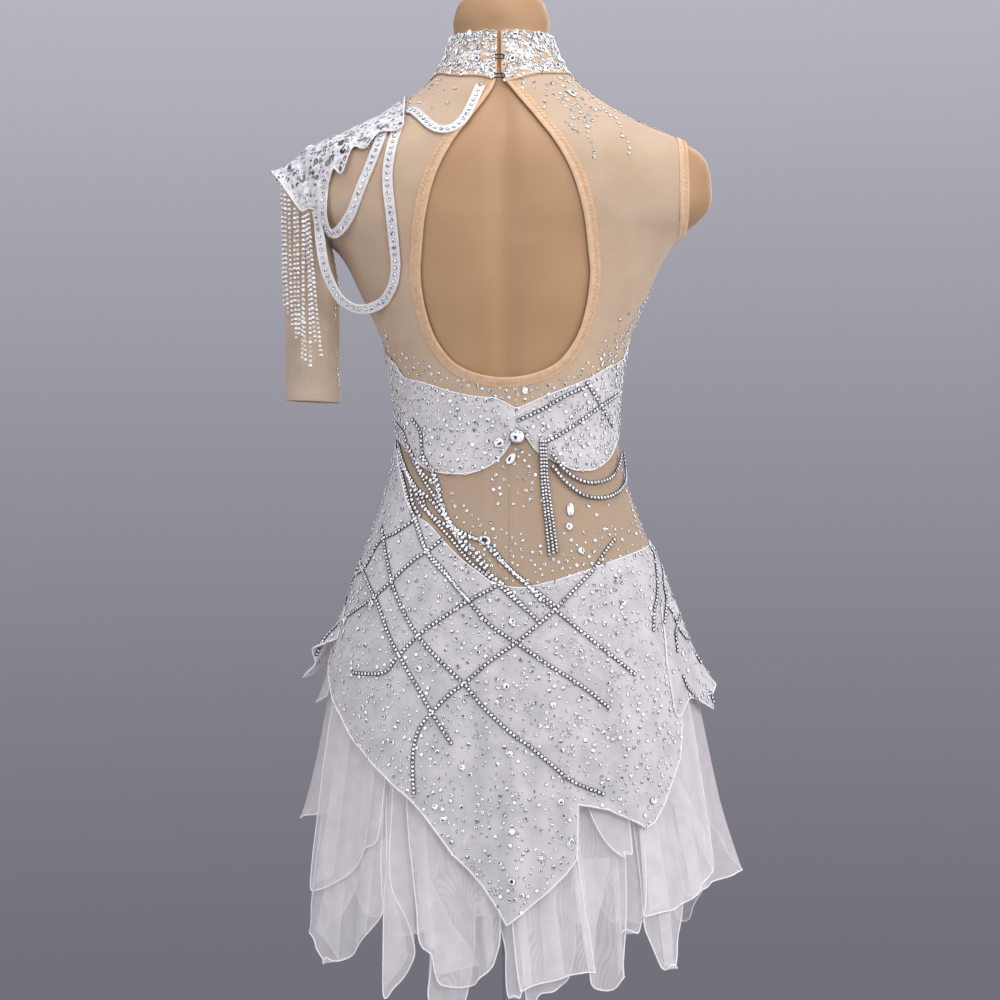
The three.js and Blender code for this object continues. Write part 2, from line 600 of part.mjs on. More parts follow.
// Chiffon petals. A layer is counted inward from the hip cloth, and outward where it is negative.
// top holds the two turns of the upper edge, and hem the points of the lower one as [turn, z, flare].
const PETALS = [
  { name: 'petal_back_1', layer: 1, top: [-70, -43],
    hem: [[-69.5, 612], [-62, 606], [-55, 612], [-50, 638], [-44, 657]] },
  { name: 'petal_back_2', layer: 2, top: [-68, -41.5],
    hem: [[-70, 592], [-66, 560], [-61, 556], [-57, 534], [-50, 552], [-45, 568], [-41.5, 600]] },
  { name: 'petal_back_3', layer: 2, top: [-40, -27],
    hem: [[-39.5, 560], [-38, 514], [-34, 530], [-31, 555], [-28, 580]] },
  { name: 'petal_back_4', layer: 3, top: [-37, -22],
    hem: [[-35, 590], [-31, 575], [-24, 570]] },
  { name: 'petal_back_5', layer: 1, top: [-33, -5],
    hem: [[-29, 582], [-27, 560], [-24, 530], [-20, 525], [-14, 527], [-9, 536], [-6, 552], [-4, 584]] },
  { name: 'petal_back_6', layer: 2, top: [-25, -10],
    hem: [[-26, 530], [-24, 511], [-19, 508], [-15, 515], [-12, 530]] },
  { name: 'petal_back_7', layer: 2, top: [-8, 5],
    hem: [[-8, 560], [-2.5, 518], [0, 511], [4, 524]] },
  { name: 'petal_back_8', layer: 1, top: [-3, 23],
    hem: [[0, 570], [2, 523], [7, 530], [12, 532], [18, 538], [23.5, 537]] },
  { name: 'petal_back_9', layer: 3, top: [2, 17],
    hem: [[3, 524], [5, 517], [9, 516], [13, 522], [17, 536]] },
  { name: 'petal_back_10', layer: 2, top: [20, 36],
    hem: [[22, 532], [26, 521], [30, 526], [32, 544], [34, 566]] },
  { name: 'petal_back_11', layer: 1, top: [25, 39],
    hem: [[26, 687], [31, 660], [35, 645], [37.5, 667]] },
  { name: 'petal_back_12', layer: 3, top: [33, 48],
    hem: [[32, 580], [36, 566], [40, 582], [44, 600]] },
  { name: 'petal_back_13', layer: 1, top: [44, 66],
    hem: [[39.5, 586], [46, 588], [53, 594], [61, 606], [66, 615], [70, 618]] },
  { name: 'petal_back_14', layer: 2, top: [42, 55],
    hem: [[39.5, 572], [42, 553], [45, 537], [49, 544], [53, 580]] },
  { name: 'petal_side_right', layer: 2, top: [58, 100],
    hem: [[55, 592], [66, 600], [74, 604, 2], [82, 608, 12], [90, 610, 19], [97, 636, 10], [104, 665]] },
  { name: 'petal_side_left', layer: 3, top: [-102, -64],
    hem: [[-104, 694], [-97, 676, 9], [-90, 668, 19], [-82, 671, 14], [-75, 675, 3], [-66, 684]] },
  { name: 'petal_front_1', layer: 1, top: [104, 132],
    hem: [[106, 600], [113, 560], [120, 540], [127, 565], [133, 605]] },
  { name: 'petal_front_2', layer: 2, top: [122, 150],
    hem: [[122, 590], [131, 540], [139, 528], [147, 560], [152, 592]] },
  { name: 'petal_front_3', layer: 1, top: [138, 168],
    hem: [[140, 600], [148, 548], [155, 532], [162, 556], [168, 598]] },
  { name: 'petal_front_4', layer: 2, top: [158, 192],
    hem: [[158, 585], [167, 536], [175, 522], [184, 540], [192, 588]] },
  { name: 'petal_front_5', layer: 1, top: [176, 206],
    hem: [[176, 596], [184, 552], [192, 534], [199, 560], [205, 600]] },
  { name: 'petal_front_6', layer: 2, top: [200, 232],
    hem: [[200, 590], [209, 540], [218, 526], [226, 556], [232, 594]] },
  { name: 'petal_front_7', layer: 1, top: [213, 242],
    hem: [[212, 604], [220, 560], [228, 540], [236, 566], [242, 606]] },
  { name: 'petal_front_8', layer: 2, top: [238, 258],
    hem: [[237, 600], [242, 562], [247, 552], [251, 590]] },
  { name: 'flap_left', layer: -1, top: [-108, -80],
    hem: [[-112, 846], [-103, 824, 4], [-95, 812, 9], [-89, 808, 12], [-82, 822, 6], [-77, 836]] },
  { name: 'flap_left_under', layer: 1, top: [-102, -76],
    hem: [[-104, 806], [-97, 792, 4], [-91, 781, 8], [-84, 784, 4], [-77, 790]] },
  { name: 'flap_right', layer: -1, top: [80, 108],
    hem: [[69, 812], [76, 780, 3], [83, 768, 7], [89, 778, 10], [94, 793, 12], [103, 824, 5], [112, 850]] },
];

// Rows of a petal as shares of its length, from the hem up
const PETAL_ROWS = [1, 0.68, 0.38, 0.15, 0];

// Outer face of a layer under (or over) the hip cloth at height z
function layerOut(layer, z) {
  if (layer < 0) return LAYER.white.wall + PETAL.flapGap + PETAL.wall;
  const spread = THREE.MathUtils.clamp(
    (PETAL.spreadFrom - z) / (PETAL.spreadFrom - PETAL.spreadTo), 0, 1);
  return -layer * mix(PETAL.pitchTop, PETAL.pitchHem, spread) + PETAL.lift;
}

function petal({ name, layer, top, hem }) {
  const turns = columnTurns(hem[0][0], hem[hem.length - 1][0], 6.5, hem);
  const heights = hem.map(([turn, z]) => [turn, z]);
  const flares = hem.map(([turn, , flare = 0]) => [turn, flare]);
  const crest = layer < 0 ? PETAL_TOP + 16 : PETAL_TOP;
  piece(name, wall(turns.length - 1, PETAL_ROWS.length - 1, (i, j, side) => {
    const share = (turns[i] - turns[0]) / (turns[turns.length - 1] - turns[0]);
    const down = PETAL_ROWS[j];
    const turn = mix(mix(top[0], top[1], share), turns[i], down);
    const z = mix(crest, tableAt(heights, turns[i]), down);
    const flare = tableAt(flares, turns[i]) * down ** 3;
    return onDrape(turn, z, layerOut(layer, z) - (1 - side) * PETAL.wall + flare);
  }), layer < 0 ? whiteFinish : chiffonFinish);
}

// Beaded shoulder cap over the left shoulder: sections as on the sleeve, with the spread in degrees that
// it covers each way and its clearance over the sleeve
const CAP = [
  { x: -97, z: 1305, topX: -97, topZ: 1320, depth: 15, spread: 54, out: 0 },
  { x: -115, z: 1300, topX: -115, topZ: 1320, depth: 20, spread: 62, out: 0 },
  { x: -131, z: 1296, topX: -131, topZ: 1320, depth: 20, spread: 67, out: 0 },
  { x: -145, z: 1294, topX: -145, topZ: 1320, depth: 20, spread: 74, out: 0 },
  { x: -157, z: 1292, topX: -157, topZ: 1320, depth: 20, spread: 82, out: 0 },
  { x: -167, z: 1291, topX: -167, topZ: 1320, depth: 20, spread: 88, out: 0 },
  { x: -174.6, z: 1291, topX: -174.6, topZ: 1320, depth: 30, spread: 92, out: 0 },
  { x: -182, z: 1284, topX: -191, topZ: 1333, depth: 40, spread: 104, out: 3.6 },
  { x: -188.5, z: 1270, topX: -207, topZ: 1319, depth: 54, spread: 99, out: 3.4 },
  { x: -195, z: 1258, topX: -222, topZ: 1313, depth: 52, spread: 66, out: 0 },
  { x: -203, z: 1262, topX: -231, topZ: 1311, depth: 50, spread: 34, out: 0 },
];
function capPoint(row, angle, side) {
  const { inner, wall: thick } = LAYER.cap;
  const gap = row.out > 0 ? LAYER.sleeve.inner : inner;
  return armPoint(row, angle, gap, row.out + side * thick);
}
function shoulderCap() {
  const columns = 12;
  piece('shoulder_cap', wall(columns, CAP.length - 1, (i, j, side) => (
    capPoint(CAP[j], mix(-CAP[j].spread, CAP[j].spread, i / columns), side)
  )), satinFinish);
}

// Bead fringe below the back edge of the cap: [share of the edge, height of the strand's end]
const STRANDS = [
  [0.04, 1172], [0.13, 1165], [0.22, 1153], [0.31, 1139], [0.4, 1145], [0.49, 1118], [0.58, 1117],
  [0.67, 1110], [0.76, 1136], [0.86, 1122], [0.95, 1150],
];
const FRINGE = { drop: 1.6, stripHeight: 4, stripWall: 2.4, strandRadius: 1.1, gatherX: -203, gather: 0.08 };
function shoulderFringe() {
  const corners = CAP.slice(-3).reverse().map((row) => {
    const corner = capPoint(row, row.spread, 0.5);
    corner.z -= FRINGE.drop;
    return corner;
  });
  const edge = (share) => {
    const at = share * (corners.length - 1);
    const k = Math.min(Math.floor(at), corners.length - 2);
    return corners[k].clone().lerp(corners[k + 1], at - k);
  };
  const cells = 6;
  const strip = wall(cells, 1, (i, j, side) => (
    edge(i / cells).add(new THREE.Vector3(0, (side - 0.5) * FRINGE.stripWall, -FRINGE.stripHeight * j))
  ));
  const strands = STRANDS.map(([share, foot]) => {
    const root = edge(share);
    root.z -= FRINGE.stripHeight / 2;
    const end = new THREE.Vector3(mix(root.x, FRINGE.gatherX, FRINGE.gather), root.y - 1.5, foot);
    return rod([root, root.clone().lerp(end, 0.5), end], FRINGE.strandRadius);
  });
  piece('shoulder_fringe', joined([strip, ...strands]), stoneFinish);
}

// Stone-set straps: centre lines as [x, z, rise], where rise is the height of the strap over the back
const STRAP_PATHS = {
  strap_collar: [
    [-21, 1383, 0], [-30, 1362, 0], [-36, 1350, 0], [-44, 1341, 0], [-54, 1337, 0], [-63, 1338, 0],
    [-71, 1343, 0], [-79, 1352, 0], [-86, 1359, 0], [-93, 1360, 0],
  ],
  strap_inner: [
    [-117, 1334, 0], [-121, 1322, 0], [-127, 1307, 0], [-134, 1291, 0], [-141, 1274, 0], [-147, 1261, 0],
    [-154, 1252, 3], [-161, 1249, 6], [-167, 1252, 7], [-171, 1260, 6], [-173, 1270, 4], [-175, 1280, 3],
  ],
  strap_outer: [
    [-102, 1336, 0], [-108, 1319, 0], [-111, 1300, 0], [-111, 1281, 0], [-109, 1263, 0], [-107, 1244, 0],
    [-105, 1225, 0], [-104, 1208, 0], [-106, 1194, 0], [-111, 1183, 0.4],
  ],
};
// Free part of the outer strap, from the side of the back up behind the sleeve to the cap, as [x, y, z]
const STRAP_LOOP = [
  [-120, -62, 1175], [-131, -58, 1170], [-142, -56, 1169], [-152, -57, 1172], [-162, -59, 1180],
  [-169, -60, 1192], [-175, -61, 1207], [-178, -62, 1222], [-180, -63, 1238], [-182, -65, 1253],
];

// Beyond this place the free strap faces straight back, with little of the surface's sideways lean
const LOOP_START = { x: -118, z: 1240, sideways: 0.2 };

function strapLine(name) {
  const { inner } = LAYER.strap;
  const line = STRAP_PATHS[name].map(([x, z, rise]) => overForm(-turnAtX(x, z, false), z, inner + rise));
  if (name === 'strap_outer') line.push(...STRAP_LOOP.map((point) => new THREE.Vector3(...point)));
  return line;
}

function strap(name) {
  const line = strapLine(name);
  const facing = line.map((point) => {
    const turn = THREE.MathUtils.radToDeg(Math.atan2(point.x, -point.y));
    const away = overForm(turn, point.z, 1).sub(onForm(turn, point.z));
    if (point.x < LOOP_START.x && point.z < LOOP_START.z) away.x *= LOOP_START.sideways;
    return away.normalize();
  });
  piece(name, wall(line.length - 1, 1, (i, j, side) => {
    const along = line[Math.min(i + 1, line.length - 1)].clone().sub(line[Math.max(i - 1, 0)]);
    const across = along.cross(facing[i]).normalize();
    return line[i].clone().addScaledVector(across, (j - 0.5) * STRAP_WIDTH)
      .addScaledVector(facing[i], side * LAYER.strap.wall);
  }), satinFinish);
}

// Chains that hang from the band on the bare back, as [turn, z, height over the form]
const CHAINS = {
  tassel_1: [[21.5, 1036, 7.2], [21.5, 1019, 7.2], [21, 1000, 5], [20.5, 965, 5], [20, 926, 5]],
  tassel_2: [[24.6, 1036, 7.2], [24.6, 1019, 7.2], [24.4, 1000, 5], [24.2, 965, 5], [24, 929, 5]],
  swag_upper: [
    [29, 1022, 7.4], [33, 1011, 6.6], [39, 1001, 5.5], [46, 995, 5.5], [54, 995, 5.5], [63, 1000, 5.5],
    [71, 1010, 5.6], [77, 1022, 6.4],
  ],
  swag_lower: [
    [28.5, 1011, 5.6], [33, 999, 5.5], [40, 986, 5.5], [47, 980, 5.5], [56, 980, 5.5], [66, 986, 5.5],
    [76, 996, 5.5], [83, 1008, 5.7], [86, 1024, 6.5],
  ],
};
function chains() {
  const chainRod = (name, radius) => rod(CHAINS[name].map((row) => overForm(...row)), radius);
  const heads = ['tassel_1', 'tassel_2'].map((name) => overForm(...CHAINS[name][0]));
  const bar = rod([heads[0].clone().lerp(heads[1], -0.3), heads[0].clone().lerp(heads[1], 1.3)], 1.9, 6);
  piece('tassel_back', joined([chainRod('tassel_1', 1.5), chainRod('tassel_2', 1.5), bar]), chainFinish);
  piece('swag_upper', chainRod('swag_upper', 1.5), chainFinish);
  piece('swag_lower', chainRod('swag_lower', 1.5), chainFinish);
}

// Wire hooks that close the collar over the slit, as heights
const HOOK_HEIGHTS = [1414, 1393];
function hooks() {
  const wire = 0.7;
  const out = LAYER.binding.inner + LAYER.binding.wall + 2 * SEAM + wire;
  HOOK_HEIGHTS.forEach((z, k) => {
    const corners = [[-4.5, 2], [4, 2], [5, 0], [4, -2], [-4.5, -2]];
    const line = corners.map(([along, up]) => overForm(SLIT.turn + along, z + up, out));
    piece(`hook_${k + 1}`, rod(line, wire, 6), chainFinish);
  });
}

// Large cut stone over the middle of the band
const CENTRE_STONE = {
  turn: 6.5, z: 1041, profile: [[0, 0], [5.5, 0], [7.5, 2], [7.2, 2.8], [4.4, 5], [0, 5]],
};
function centreStone() {
  const { turn, z, profile } = CENTRE_STONE;
  const stone = new THREE.LatheGeometry(profile.map(([x, y]) => new THREE.Vector2(x, y)), 12);
  const seat = overForm(turn, z, LAYER.white.inner + LAYER.white.wall + SEAM);
  const away = seat.clone().sub(onForm(turn, z)).normalize();
  stone.applyQuaternion(new THREE.Quaternion().setFromUnitVectors(new THREE.Vector3(0, 1, 0), away));
  stone.translate(...seat.toArray());
  piece('centre_stone', stone, stoneFinish);
}

stand();
dressForm();
nudePanels();
collar();
openingBinding();
armholeBinding();
sleeve();
bands();
hips();
PETALS.forEach(petal);
shoulderCap();
shoulderFringe();
Object.keys(STRAP_PATHS).forEach(strap);
chains();
hooks();
centreStone();

export default dress;
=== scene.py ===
"""Looks of the figure skating dress on its dress form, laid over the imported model."""

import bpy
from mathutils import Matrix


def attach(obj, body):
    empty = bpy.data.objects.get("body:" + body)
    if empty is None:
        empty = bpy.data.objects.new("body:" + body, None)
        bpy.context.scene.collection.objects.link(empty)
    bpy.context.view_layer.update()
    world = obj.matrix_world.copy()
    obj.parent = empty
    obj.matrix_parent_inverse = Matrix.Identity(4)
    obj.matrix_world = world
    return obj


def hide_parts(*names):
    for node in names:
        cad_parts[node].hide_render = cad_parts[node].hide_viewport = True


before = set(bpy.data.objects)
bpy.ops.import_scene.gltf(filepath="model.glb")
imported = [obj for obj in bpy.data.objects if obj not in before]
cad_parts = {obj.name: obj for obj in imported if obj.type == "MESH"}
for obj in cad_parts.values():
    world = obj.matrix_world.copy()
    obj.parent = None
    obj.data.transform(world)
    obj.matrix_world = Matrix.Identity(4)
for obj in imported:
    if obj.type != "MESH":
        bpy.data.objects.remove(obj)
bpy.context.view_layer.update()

import math

import bpy
import numpy as np
from mathutils import Vector
from mathutils.bvhtree import BVHTree

# Shapes are worked out in millimetres and handed to Blender in metres. A turn is an angle in degrees
# round the upright axis: 0 centre back, 90 right side, 180 front.
MM = 0.001

# Camera of the photograph: place in millimetres, lean of the picture, and the pixel that sees x = 0
EYE = np.array([-8.15, -2600.0, 980.0])
LENS = 93.6
LEAN = 0.01415
CENTRE_COLUMN = 508.15
CENTRE_ROW = 500.0

# Driving dimensions, as in the part's source
STAND = {"base_radius": 175, "base_height": 14, "pole_radius": 12.5, "socket_radius": 38, "socket_height": 12}
SEAM = 0.3
FORM_BOTTOM = 740
FORM_TOP = 1484
ARMHOLE_X = 174
ARMPIT_Z = 1290
PETAL_TOP = 862
COLLAR_TOP = 1442
SLIT_TURN = -3
# Each layer's inner face over the form, and the thickness of its cloth
NUDE = (1.9, 0.6)
BINDING = (2.6, 1.3)
LACE = (2.6, 1.2)
WHITE = (3.9, 1.1)
SLEEVE_CLOTH = (2.7, 0.7)
STRAP = (4.0, 1.2)
CAP_CLOTH = (6.8, 1.2)

# Sections of the dress form: z, half width, depth behind, depth in front, shift ahead, power. From 1313 to
# 1420 they lie up to 8.5 mm lower than in the part's source, because the photographed shoulders slope more.
FORM = np.array([
    (740, 162, 112, 92, 0, 2.3), (790, 167, 120, 99, 0, 2.3), (840, 166, 121, 98, 0, 2.3),
    (880, 158, 117, 95, 0, 2.3), (920, 143, 108, 91, 0, 2.3), (950, 131, 99, 88, 0, 2.3),
    (980, 120, 90, 86, 0, 2.3), (1010, 112, 83, 85, 0, 2.3), (1040, 107.5, 80, 85, 0, 2.3),
    (1070, 107, 81, 89, 0, 2.3), (1100, 110, 84, 98, 0, 2.3), (1130, 117, 88, 110, 0, 2.3),
    (1160, 129, 92, 120, 0, 2.35), (1190, 143, 96, 121, 0, 2.4), (1218, 156, 98, 115, 0, 2.4),
    (1240, 173, 99, 108, 0, 2.4), (1255, 194, 100, 102, 0, 2.4), (1270, 206, 100, 96, 0, 2.4),
    (1290, 207, 99, 88, 0, 2.4), (1313, 203, 95, 79, 0, 2.4), (1325.5, 192, 91, 74, 0, 2.35),
    (1335, 172, 87, 70, 0, 2.3), (1346.5, 146, 82, 66, 1, 2.2), (1359.5, 121, 76, 62, 3, 2.15),
    (1375.5, 97, 68, 58, 5, 2.1), (1389, 80, 62, 55, 7, 2.1), (1403.5, 65, 56, 52, 9, 2.05),
    (1420, 55, 51, 49, 11, 2), (1440, 48.5, 47, 47, 13, 2), (1460, 45, 45, 45, 15, 2),
    (1472, 43, 44, 44, 16, 2),
])
# Outer sections of the draped skirt below the hips, with the same columns
DRAPE_TOP = 900
DRAPE = [
    (480, 222, 182, 162, 0, 2.3), (540, 219, 177, 157, 0, 2.3), (580, 217, 172, 152, 0, 2.3),
    (620, 213, 167, 147, 0, 2.3), (660, 208, 161, 141, 0, 2.3), (700, 203, 155, 134, 0, 2.3),
    (740, 197, 149, 127, 0, 2.3), (780, 190, 142, 120, 0, 2.3), (820, 181, 134, 111, 0, 2.3),
    (850, 172, 127, 104, 0, 2.3), (875, 163.5, 121.5, 99.5, 0, 2.3),
]
# Folds of the skirt: where they start and are full, their depth, and waves as (count, share, phase)
FOLD_START, FOLD_FULL, FOLD_DEPTH = 840, 530, 7
FOLD_WAVES = [(9, 0.6, 0.7), (17, 0.4, 2.1), (37, 0.2, 1.3)]


def mix(a, b, t):
    return a + (b - a) * t


def ease(x, low, high):
    t = np.clip((x - low) / (high - low), 0, 1)
    return t * t * (3 - 2 * t)


def unit(vectors):
    return vectors / np.maximum(np.linalg.norm(vectors, axis=-1, keepdims=True), 1e-9)


def hermite(p, q, m, n, u):
    """Cubic from p to q whose slopes at the two ends are m and n."""
    start, end = 2 * u**3 - 3 * u**2 + 1, 3 * u**2 - 2 * u**3
    return start * p + (u**3 - 2 * u**2 + u) * m + end * q + (u**3 - u**2) * n


def section_at(table, z):
    """Every column of a section table at heights z, smoothly interpolated."""
    last = len(table) - 1
    rows = np.arange(last + 1)
    before, after = table[np.maximum(rows - 1, 0)], table[np.minimum(rows + 1, last)]
    slopes = (after - before) / (after[:, :1] - before[:, :1])
    z = np.clip(np.asarray(z, float), table[0, 0], table[-1, 0])
    i = np.clip(np.searchsorted(table[:, 0], z) - 1, 0, last - 1)
    step = (table[i + 1, 0] - table[i, 0])[..., None]
    u = (z[..., None] - table[i, :1]) / step
    return hermite(table[i], table[i + 1], slopes[i] * step, slopes[i + 1] * step, u)


def grown(section, by):
    section = section.copy()
    section[..., 1:4] += np.asarray(by)[..., None]
    return section


def on_section(section, turn, z):
    side, rear = np.sin(np.radians(turn)), np.cos(np.radians(turn))
    _, half, back, front, ahead, power = np.moveaxis(section, -1, 0)
    depth = np.where(rear > 0, back, front)
    radius = ((np.abs(side) / half) ** power + (np.abs(rear) / depth) ** power) ** (-1 / power)
    return np.stack([radius * side, ahead - radius * rear, z + 0 * radius], -1)


def on_form(turn, z):
    return on_section(section_at(FORM, z), turn, z)


def form_normal(turn, z):
    turn, z = np.broadcast_arrays(np.asarray(turn, float), np.asarray(z, float))
    across = on_form(turn + 1, z) - on_form(turn - 1, z)
    up = on_form(turn, z + 1) - on_form(turn, z - 1)
    return unit(np.cross(across, up))


def over_form(turn, z, out):
    """Point over the form, moved out along the surface's own normal."""
    turn, z = np.broadcast_arrays(np.asarray(turn, float), np.asarray(z, float))
    return on_form(turn, z) + form_normal(turn, z) * np.asarray(out)[..., None]


DRAPE_TABLE = np.array(DRAPE + [tuple(grown(section_at(FORM, np.array(float(DRAPE_TOP))), WHITE[0]))])


def fold(turn, z):
    """Soft folds of the skirt, which every layer shares so that the layers nest."""
    grow = np.clip((FOLD_START - z) / (FOLD_START - FOLD_FULL), 0, 1.2)
    wave = sum(share * np.sin(count * np.radians(turn) + phase) for count, share, phase in FOLD_WAVES)
    return FOLD_DEPTH * grow * wave


def on_drape(turn, z, out):
    """Point of the drape that lies over the hips and hangs free below them."""
    turn, z, out = np.broadcast_arrays(*(np.asarray(v, float) for v in (turn, z, out)))
    fitted = over_form(turn, z, WHITE[0] + out)
    free = on_section(grown(section_at(DRAPE_TABLE, z), out + fold(turn, z)), turn, z)
    share = ease(z, DRAPE_TOP - 22, DRAPE_TOP)[..., None]
    return mix(free, fitted, share)


def turn_at_x(x, z, front):
    """Turn at which the back or front of the form reaches a given x."""
    section = section_at(FORM, z)
    share = np.minimum(np.abs(x) / section[..., 1], 1)
    power = section[..., 5]
    depth = (section[..., 3] if front else section[..., 2]) * (1 - share**power) ** (1 / power)
    turn = np.degrees(np.arctan2(np.abs(x), depth))
    return 180 - turn if front else turn


def straight_at(table, at):
    xs, ys = np.array(table, float).T[:2]
    return np.interp(at, xs, ys)


def smooth_at(table, at):
    """Smooth interpolation without overshoot in a table whose rows are [position, value]."""
    xs, ys = np.array(table, float).T[:2]
    h = np.diff(xs)
    d = np.diff(ys) / h
    slopes = np.zeros_like(ys)
    slopes[0], slopes[-1] = d[0], d[-1]
    a, b = 2 * h[1:] + h[:-1], h[1:] + 2 * h[:-1]
    same = d[:-1] * d[1:] > 1e-9
    safe = [np.where(same, part, 1) for part in (d[:-1], d[1:])]
    slopes[1:-1] = np.where(same, (a + b) / (a / safe[0] + b / safe[1]), 0)
    at = np.clip(at, xs[0], xs[-1])
    i = np.clip(np.searchsorted(xs, at, side="right") - 1, 0, len(xs) - 2)
    return hermite(ys[i], ys[i + 1], slopes[i] * h[i], slopes[i + 1] * h[i], (at - xs[i]) / h[i])


def rows_at(table, t):
    """Rows of a table at fractional places t, along a smooth curve through its rows."""
    table = np.array(table, float)
    last = len(table) - 1
    slopes = np.gradient(table, axis=0)
    i = np.clip(np.floor(t).astype(int), 0, last - 1)
    return hermite(table[i], table[i + 1], slopes[i], slopes[i + 1], (t - i)[..., None])


def smooth_path(points, per=8):
    return rows_at(points, np.linspace(0, len(points) - 1, per * (len(points) - 1) + 1))


def measured(path):
    return np.concatenate([[0], np.cumsum(np.linalg.norm(np.diff(path, axis=0), axis=1))])


def resampled(path, pitch):
    """Points along a path at an even pitch."""
    way = measured(path)
    marks = np.linspace(0, way[-1], max(int(round(way[-1] / pitch)), 1) + 1)
    return np.stack([np.interp(marks, way, path[:, k]) for k in range(path.shape[1])], 1)


class Batch:
    """Points, faces, material marks and painted facet shading of one mesh in the making."""

    def __init__(self):
        self.points, self.faces, self.marks, self.tones, self.size = [], [], [], [], 0

    def add(self, points, faces, mark=0, tones=None):
        points = np.asarray(points).reshape(-1, 3)
        self.points.append(points)
        for group in faces:
            group = np.asarray(group, int)
            self.faces += (group + self.size).tolist()
            self.marks += [mark] * len(group)
        self.tones += [1.0] * sum(len(group) for group in faces) if tones is None else list(tones)
        self.size += len(points)
        return self


def ids_of(width, height, start=0):
    return start + np.arange(width * height).reshape(height, width)


def cells(ids, flip=False):
    """Quads between the rows and columns of an array of point numbers."""
    a, b, c, d = ids[:-1, :-1], ids[:-1, 1:], ids[1:, 1:], ids[1:, :-1]
    quads = np.stack([a, d, c, b] if flip else [a, b, c, d], -1)
    return quads.reshape(-1, 4)


def shell(batch, inner, outer, ring=False, mark=0):
    """Closed cloth between two grids of points, whose outer face looks out."""
    height, width = outer.shape[:2]
    low, high = ids_of(width, height), ids_of(width, height, width * height)
    if ring:
        low, high = (np.concatenate([ids, ids[:, :1]], 1) for ids in (low, high))
    faces = [cells(low, True), cells(high)]
    faces.append(cells(np.stack([low[0], high[0]])))
    faces.append(cells(np.stack([low[-1], high[-1]]), True))
    if not ring:
        faces.append(cells(np.stack([low[:, 0], high[:, 0]]), True))
        faces.append(cells(np.stack([low[:, -1], high[:, -1]])))
    return batch.add(np.concatenate([inner.reshape(-1, 3), outer.reshape(-1, 3)]), faces, mark)


def tube(batch, path, radius, sides=6, mark=0, ring=False):
    """Round cord along a path."""
    path = np.asarray(path, float)
    ahead = np.roll(path, -1, 0) - np.roll(path, 1, 0) if ring else np.gradient(path, axis=0)
    ahead = unit(ahead)
    guide = np.array([0.0, 0, 1]) if abs(ahead[0, 1]) > 0.9 else np.array([0.0, 1, 0])
    across = np.empty_like(path)
    for k, way in enumerate(ahead):
        guide = guide - way * guide.dot(way)
        guide /= np.linalg.norm(guide)
        across[k] = guide
    other = np.cross(ahead, across)
    angle = np.linspace(0, 2 * np.pi, sides, endpoint=False)
    radius = np.broadcast_to(radius, len(path))[:, None, None]
    points = path[:, None] + radius * (
        across[:, None] * np.cos(angle)[:, None] + other[:, None] * np.sin(angle)[:, None])
    ids = ids_of(sides, len(path))
    ids = np.concatenate([ids, ids[:, :1]], 1)
    if ring:
        ids = np.concatenate([ids, ids[:1]], 0)
    faces = [cells(ids)]
    if not ring:
        faces += [ids[:1, :-1][:, ::-1], ids[-1:, :-1]]
    return batch.add(points, faces, mark)


def lathe(batch, profile, sides, centre=(0, 0), mark=0):
    """Closed body of revolution round an upright axis; profile runs from the foot to the top."""
    angle = np.linspace(0, 2 * np.pi, sides, endpoint=False)
    radius, height = np.array(profile, float).T
    points = np.stack([
        centre[0] + radius[:, None] * np.cos(angle), centre[1] + radius[:, None] * np.sin(angle),
        height[:, None] + 0 * angle], -1)
    ids = ids_of(sides, len(profile))
    ids = np.concatenate([ids, ids[:, :1]], 1)
    return batch.add(points, [cells(ids), ids[:1, :-1][:, ::-1], ids[-1:, :-1]], mark)


# Cut stones: rings as (radius, height) in units of the stone's own radius, from the foot to the table
STONE_RINGS = [(1.0, 0.0), (0.83, 0.3), (0.5, 0.55)]
GEM_RINGS = [(1.0, 0.0), (0.9, 0.36), (0.74, 0.56), (0.48, 0.68)]
CUP_RINGS = [(0.92, 0.0), (1.0, 0.5), (0.84, 0.5), (0.8, 0.22)]
# Painted reflection on the crowns' facets: the share of the stone's white that a facet keeps, the rest being the
# dark painted facet colour
CROWN_SHADING = {"stone": [0.3, 0.75, 0.9, 1.0, 1.0], "bright": [0.5, 0.85, 0.95, 1.0]}
# How many eighths of the table may be painted dark, as a painted reflection
PAINTED_DARK_FACETS = {"stone": [0, 2, 3, 4, 5, 6, 8], "bright": [0, 0, 0, 2, 3, 5]}
# How far the table lies off the middle of a small stone
TABLE_SHIFT = 0.2


def facets(rings, sides, peak=None, shift=0.0):
    """Points of a stone and its faces by kind: bands from the foot up, then foot and table.

    With a peak height the table is a fan of facets round its middle, which may lie off the stone's own."""
    angle = np.linspace(0, 2 * np.pi, sides, endpoint=False)
    turned = [angle + k * np.pi / sides for k in range(len(rings))]
    points = np.concatenate([
        np.stack([r * np.cos(around), r * np.sin(around), h + 0 * angle], 1)
        for around, (r, h) in zip(turned, rings)])
    points[-sides:, 0] += shift
    ids = ids_of(sides, len(rings))
    ids = np.concatenate([ids, ids[:, :1]], 1)
    bands = [cells(ids[k:k + 2]) for k in range(len(rings) - 1)]
    table = ids[-1:, :-1]
    if peak is not None:
        points = np.concatenate([points, [[shift, 0, peak]]])
        table = np.stack([ids[-1, :-1], ids[-1, 1:], np.full(sides, len(points) - 1)], 1)
    return points, bands, ids[:1, :-1][:, ::-1], table


def axes_of(normals, rng, along=None):
    """Two directions across each normal, turned at random or laid along a given way."""
    if along is None:
        along = rng.normal(size=normals.shape)
    first = unit(along - normals * (along * normals).sum(-1, keepdims=True))
    return first, np.cross(normals, first)


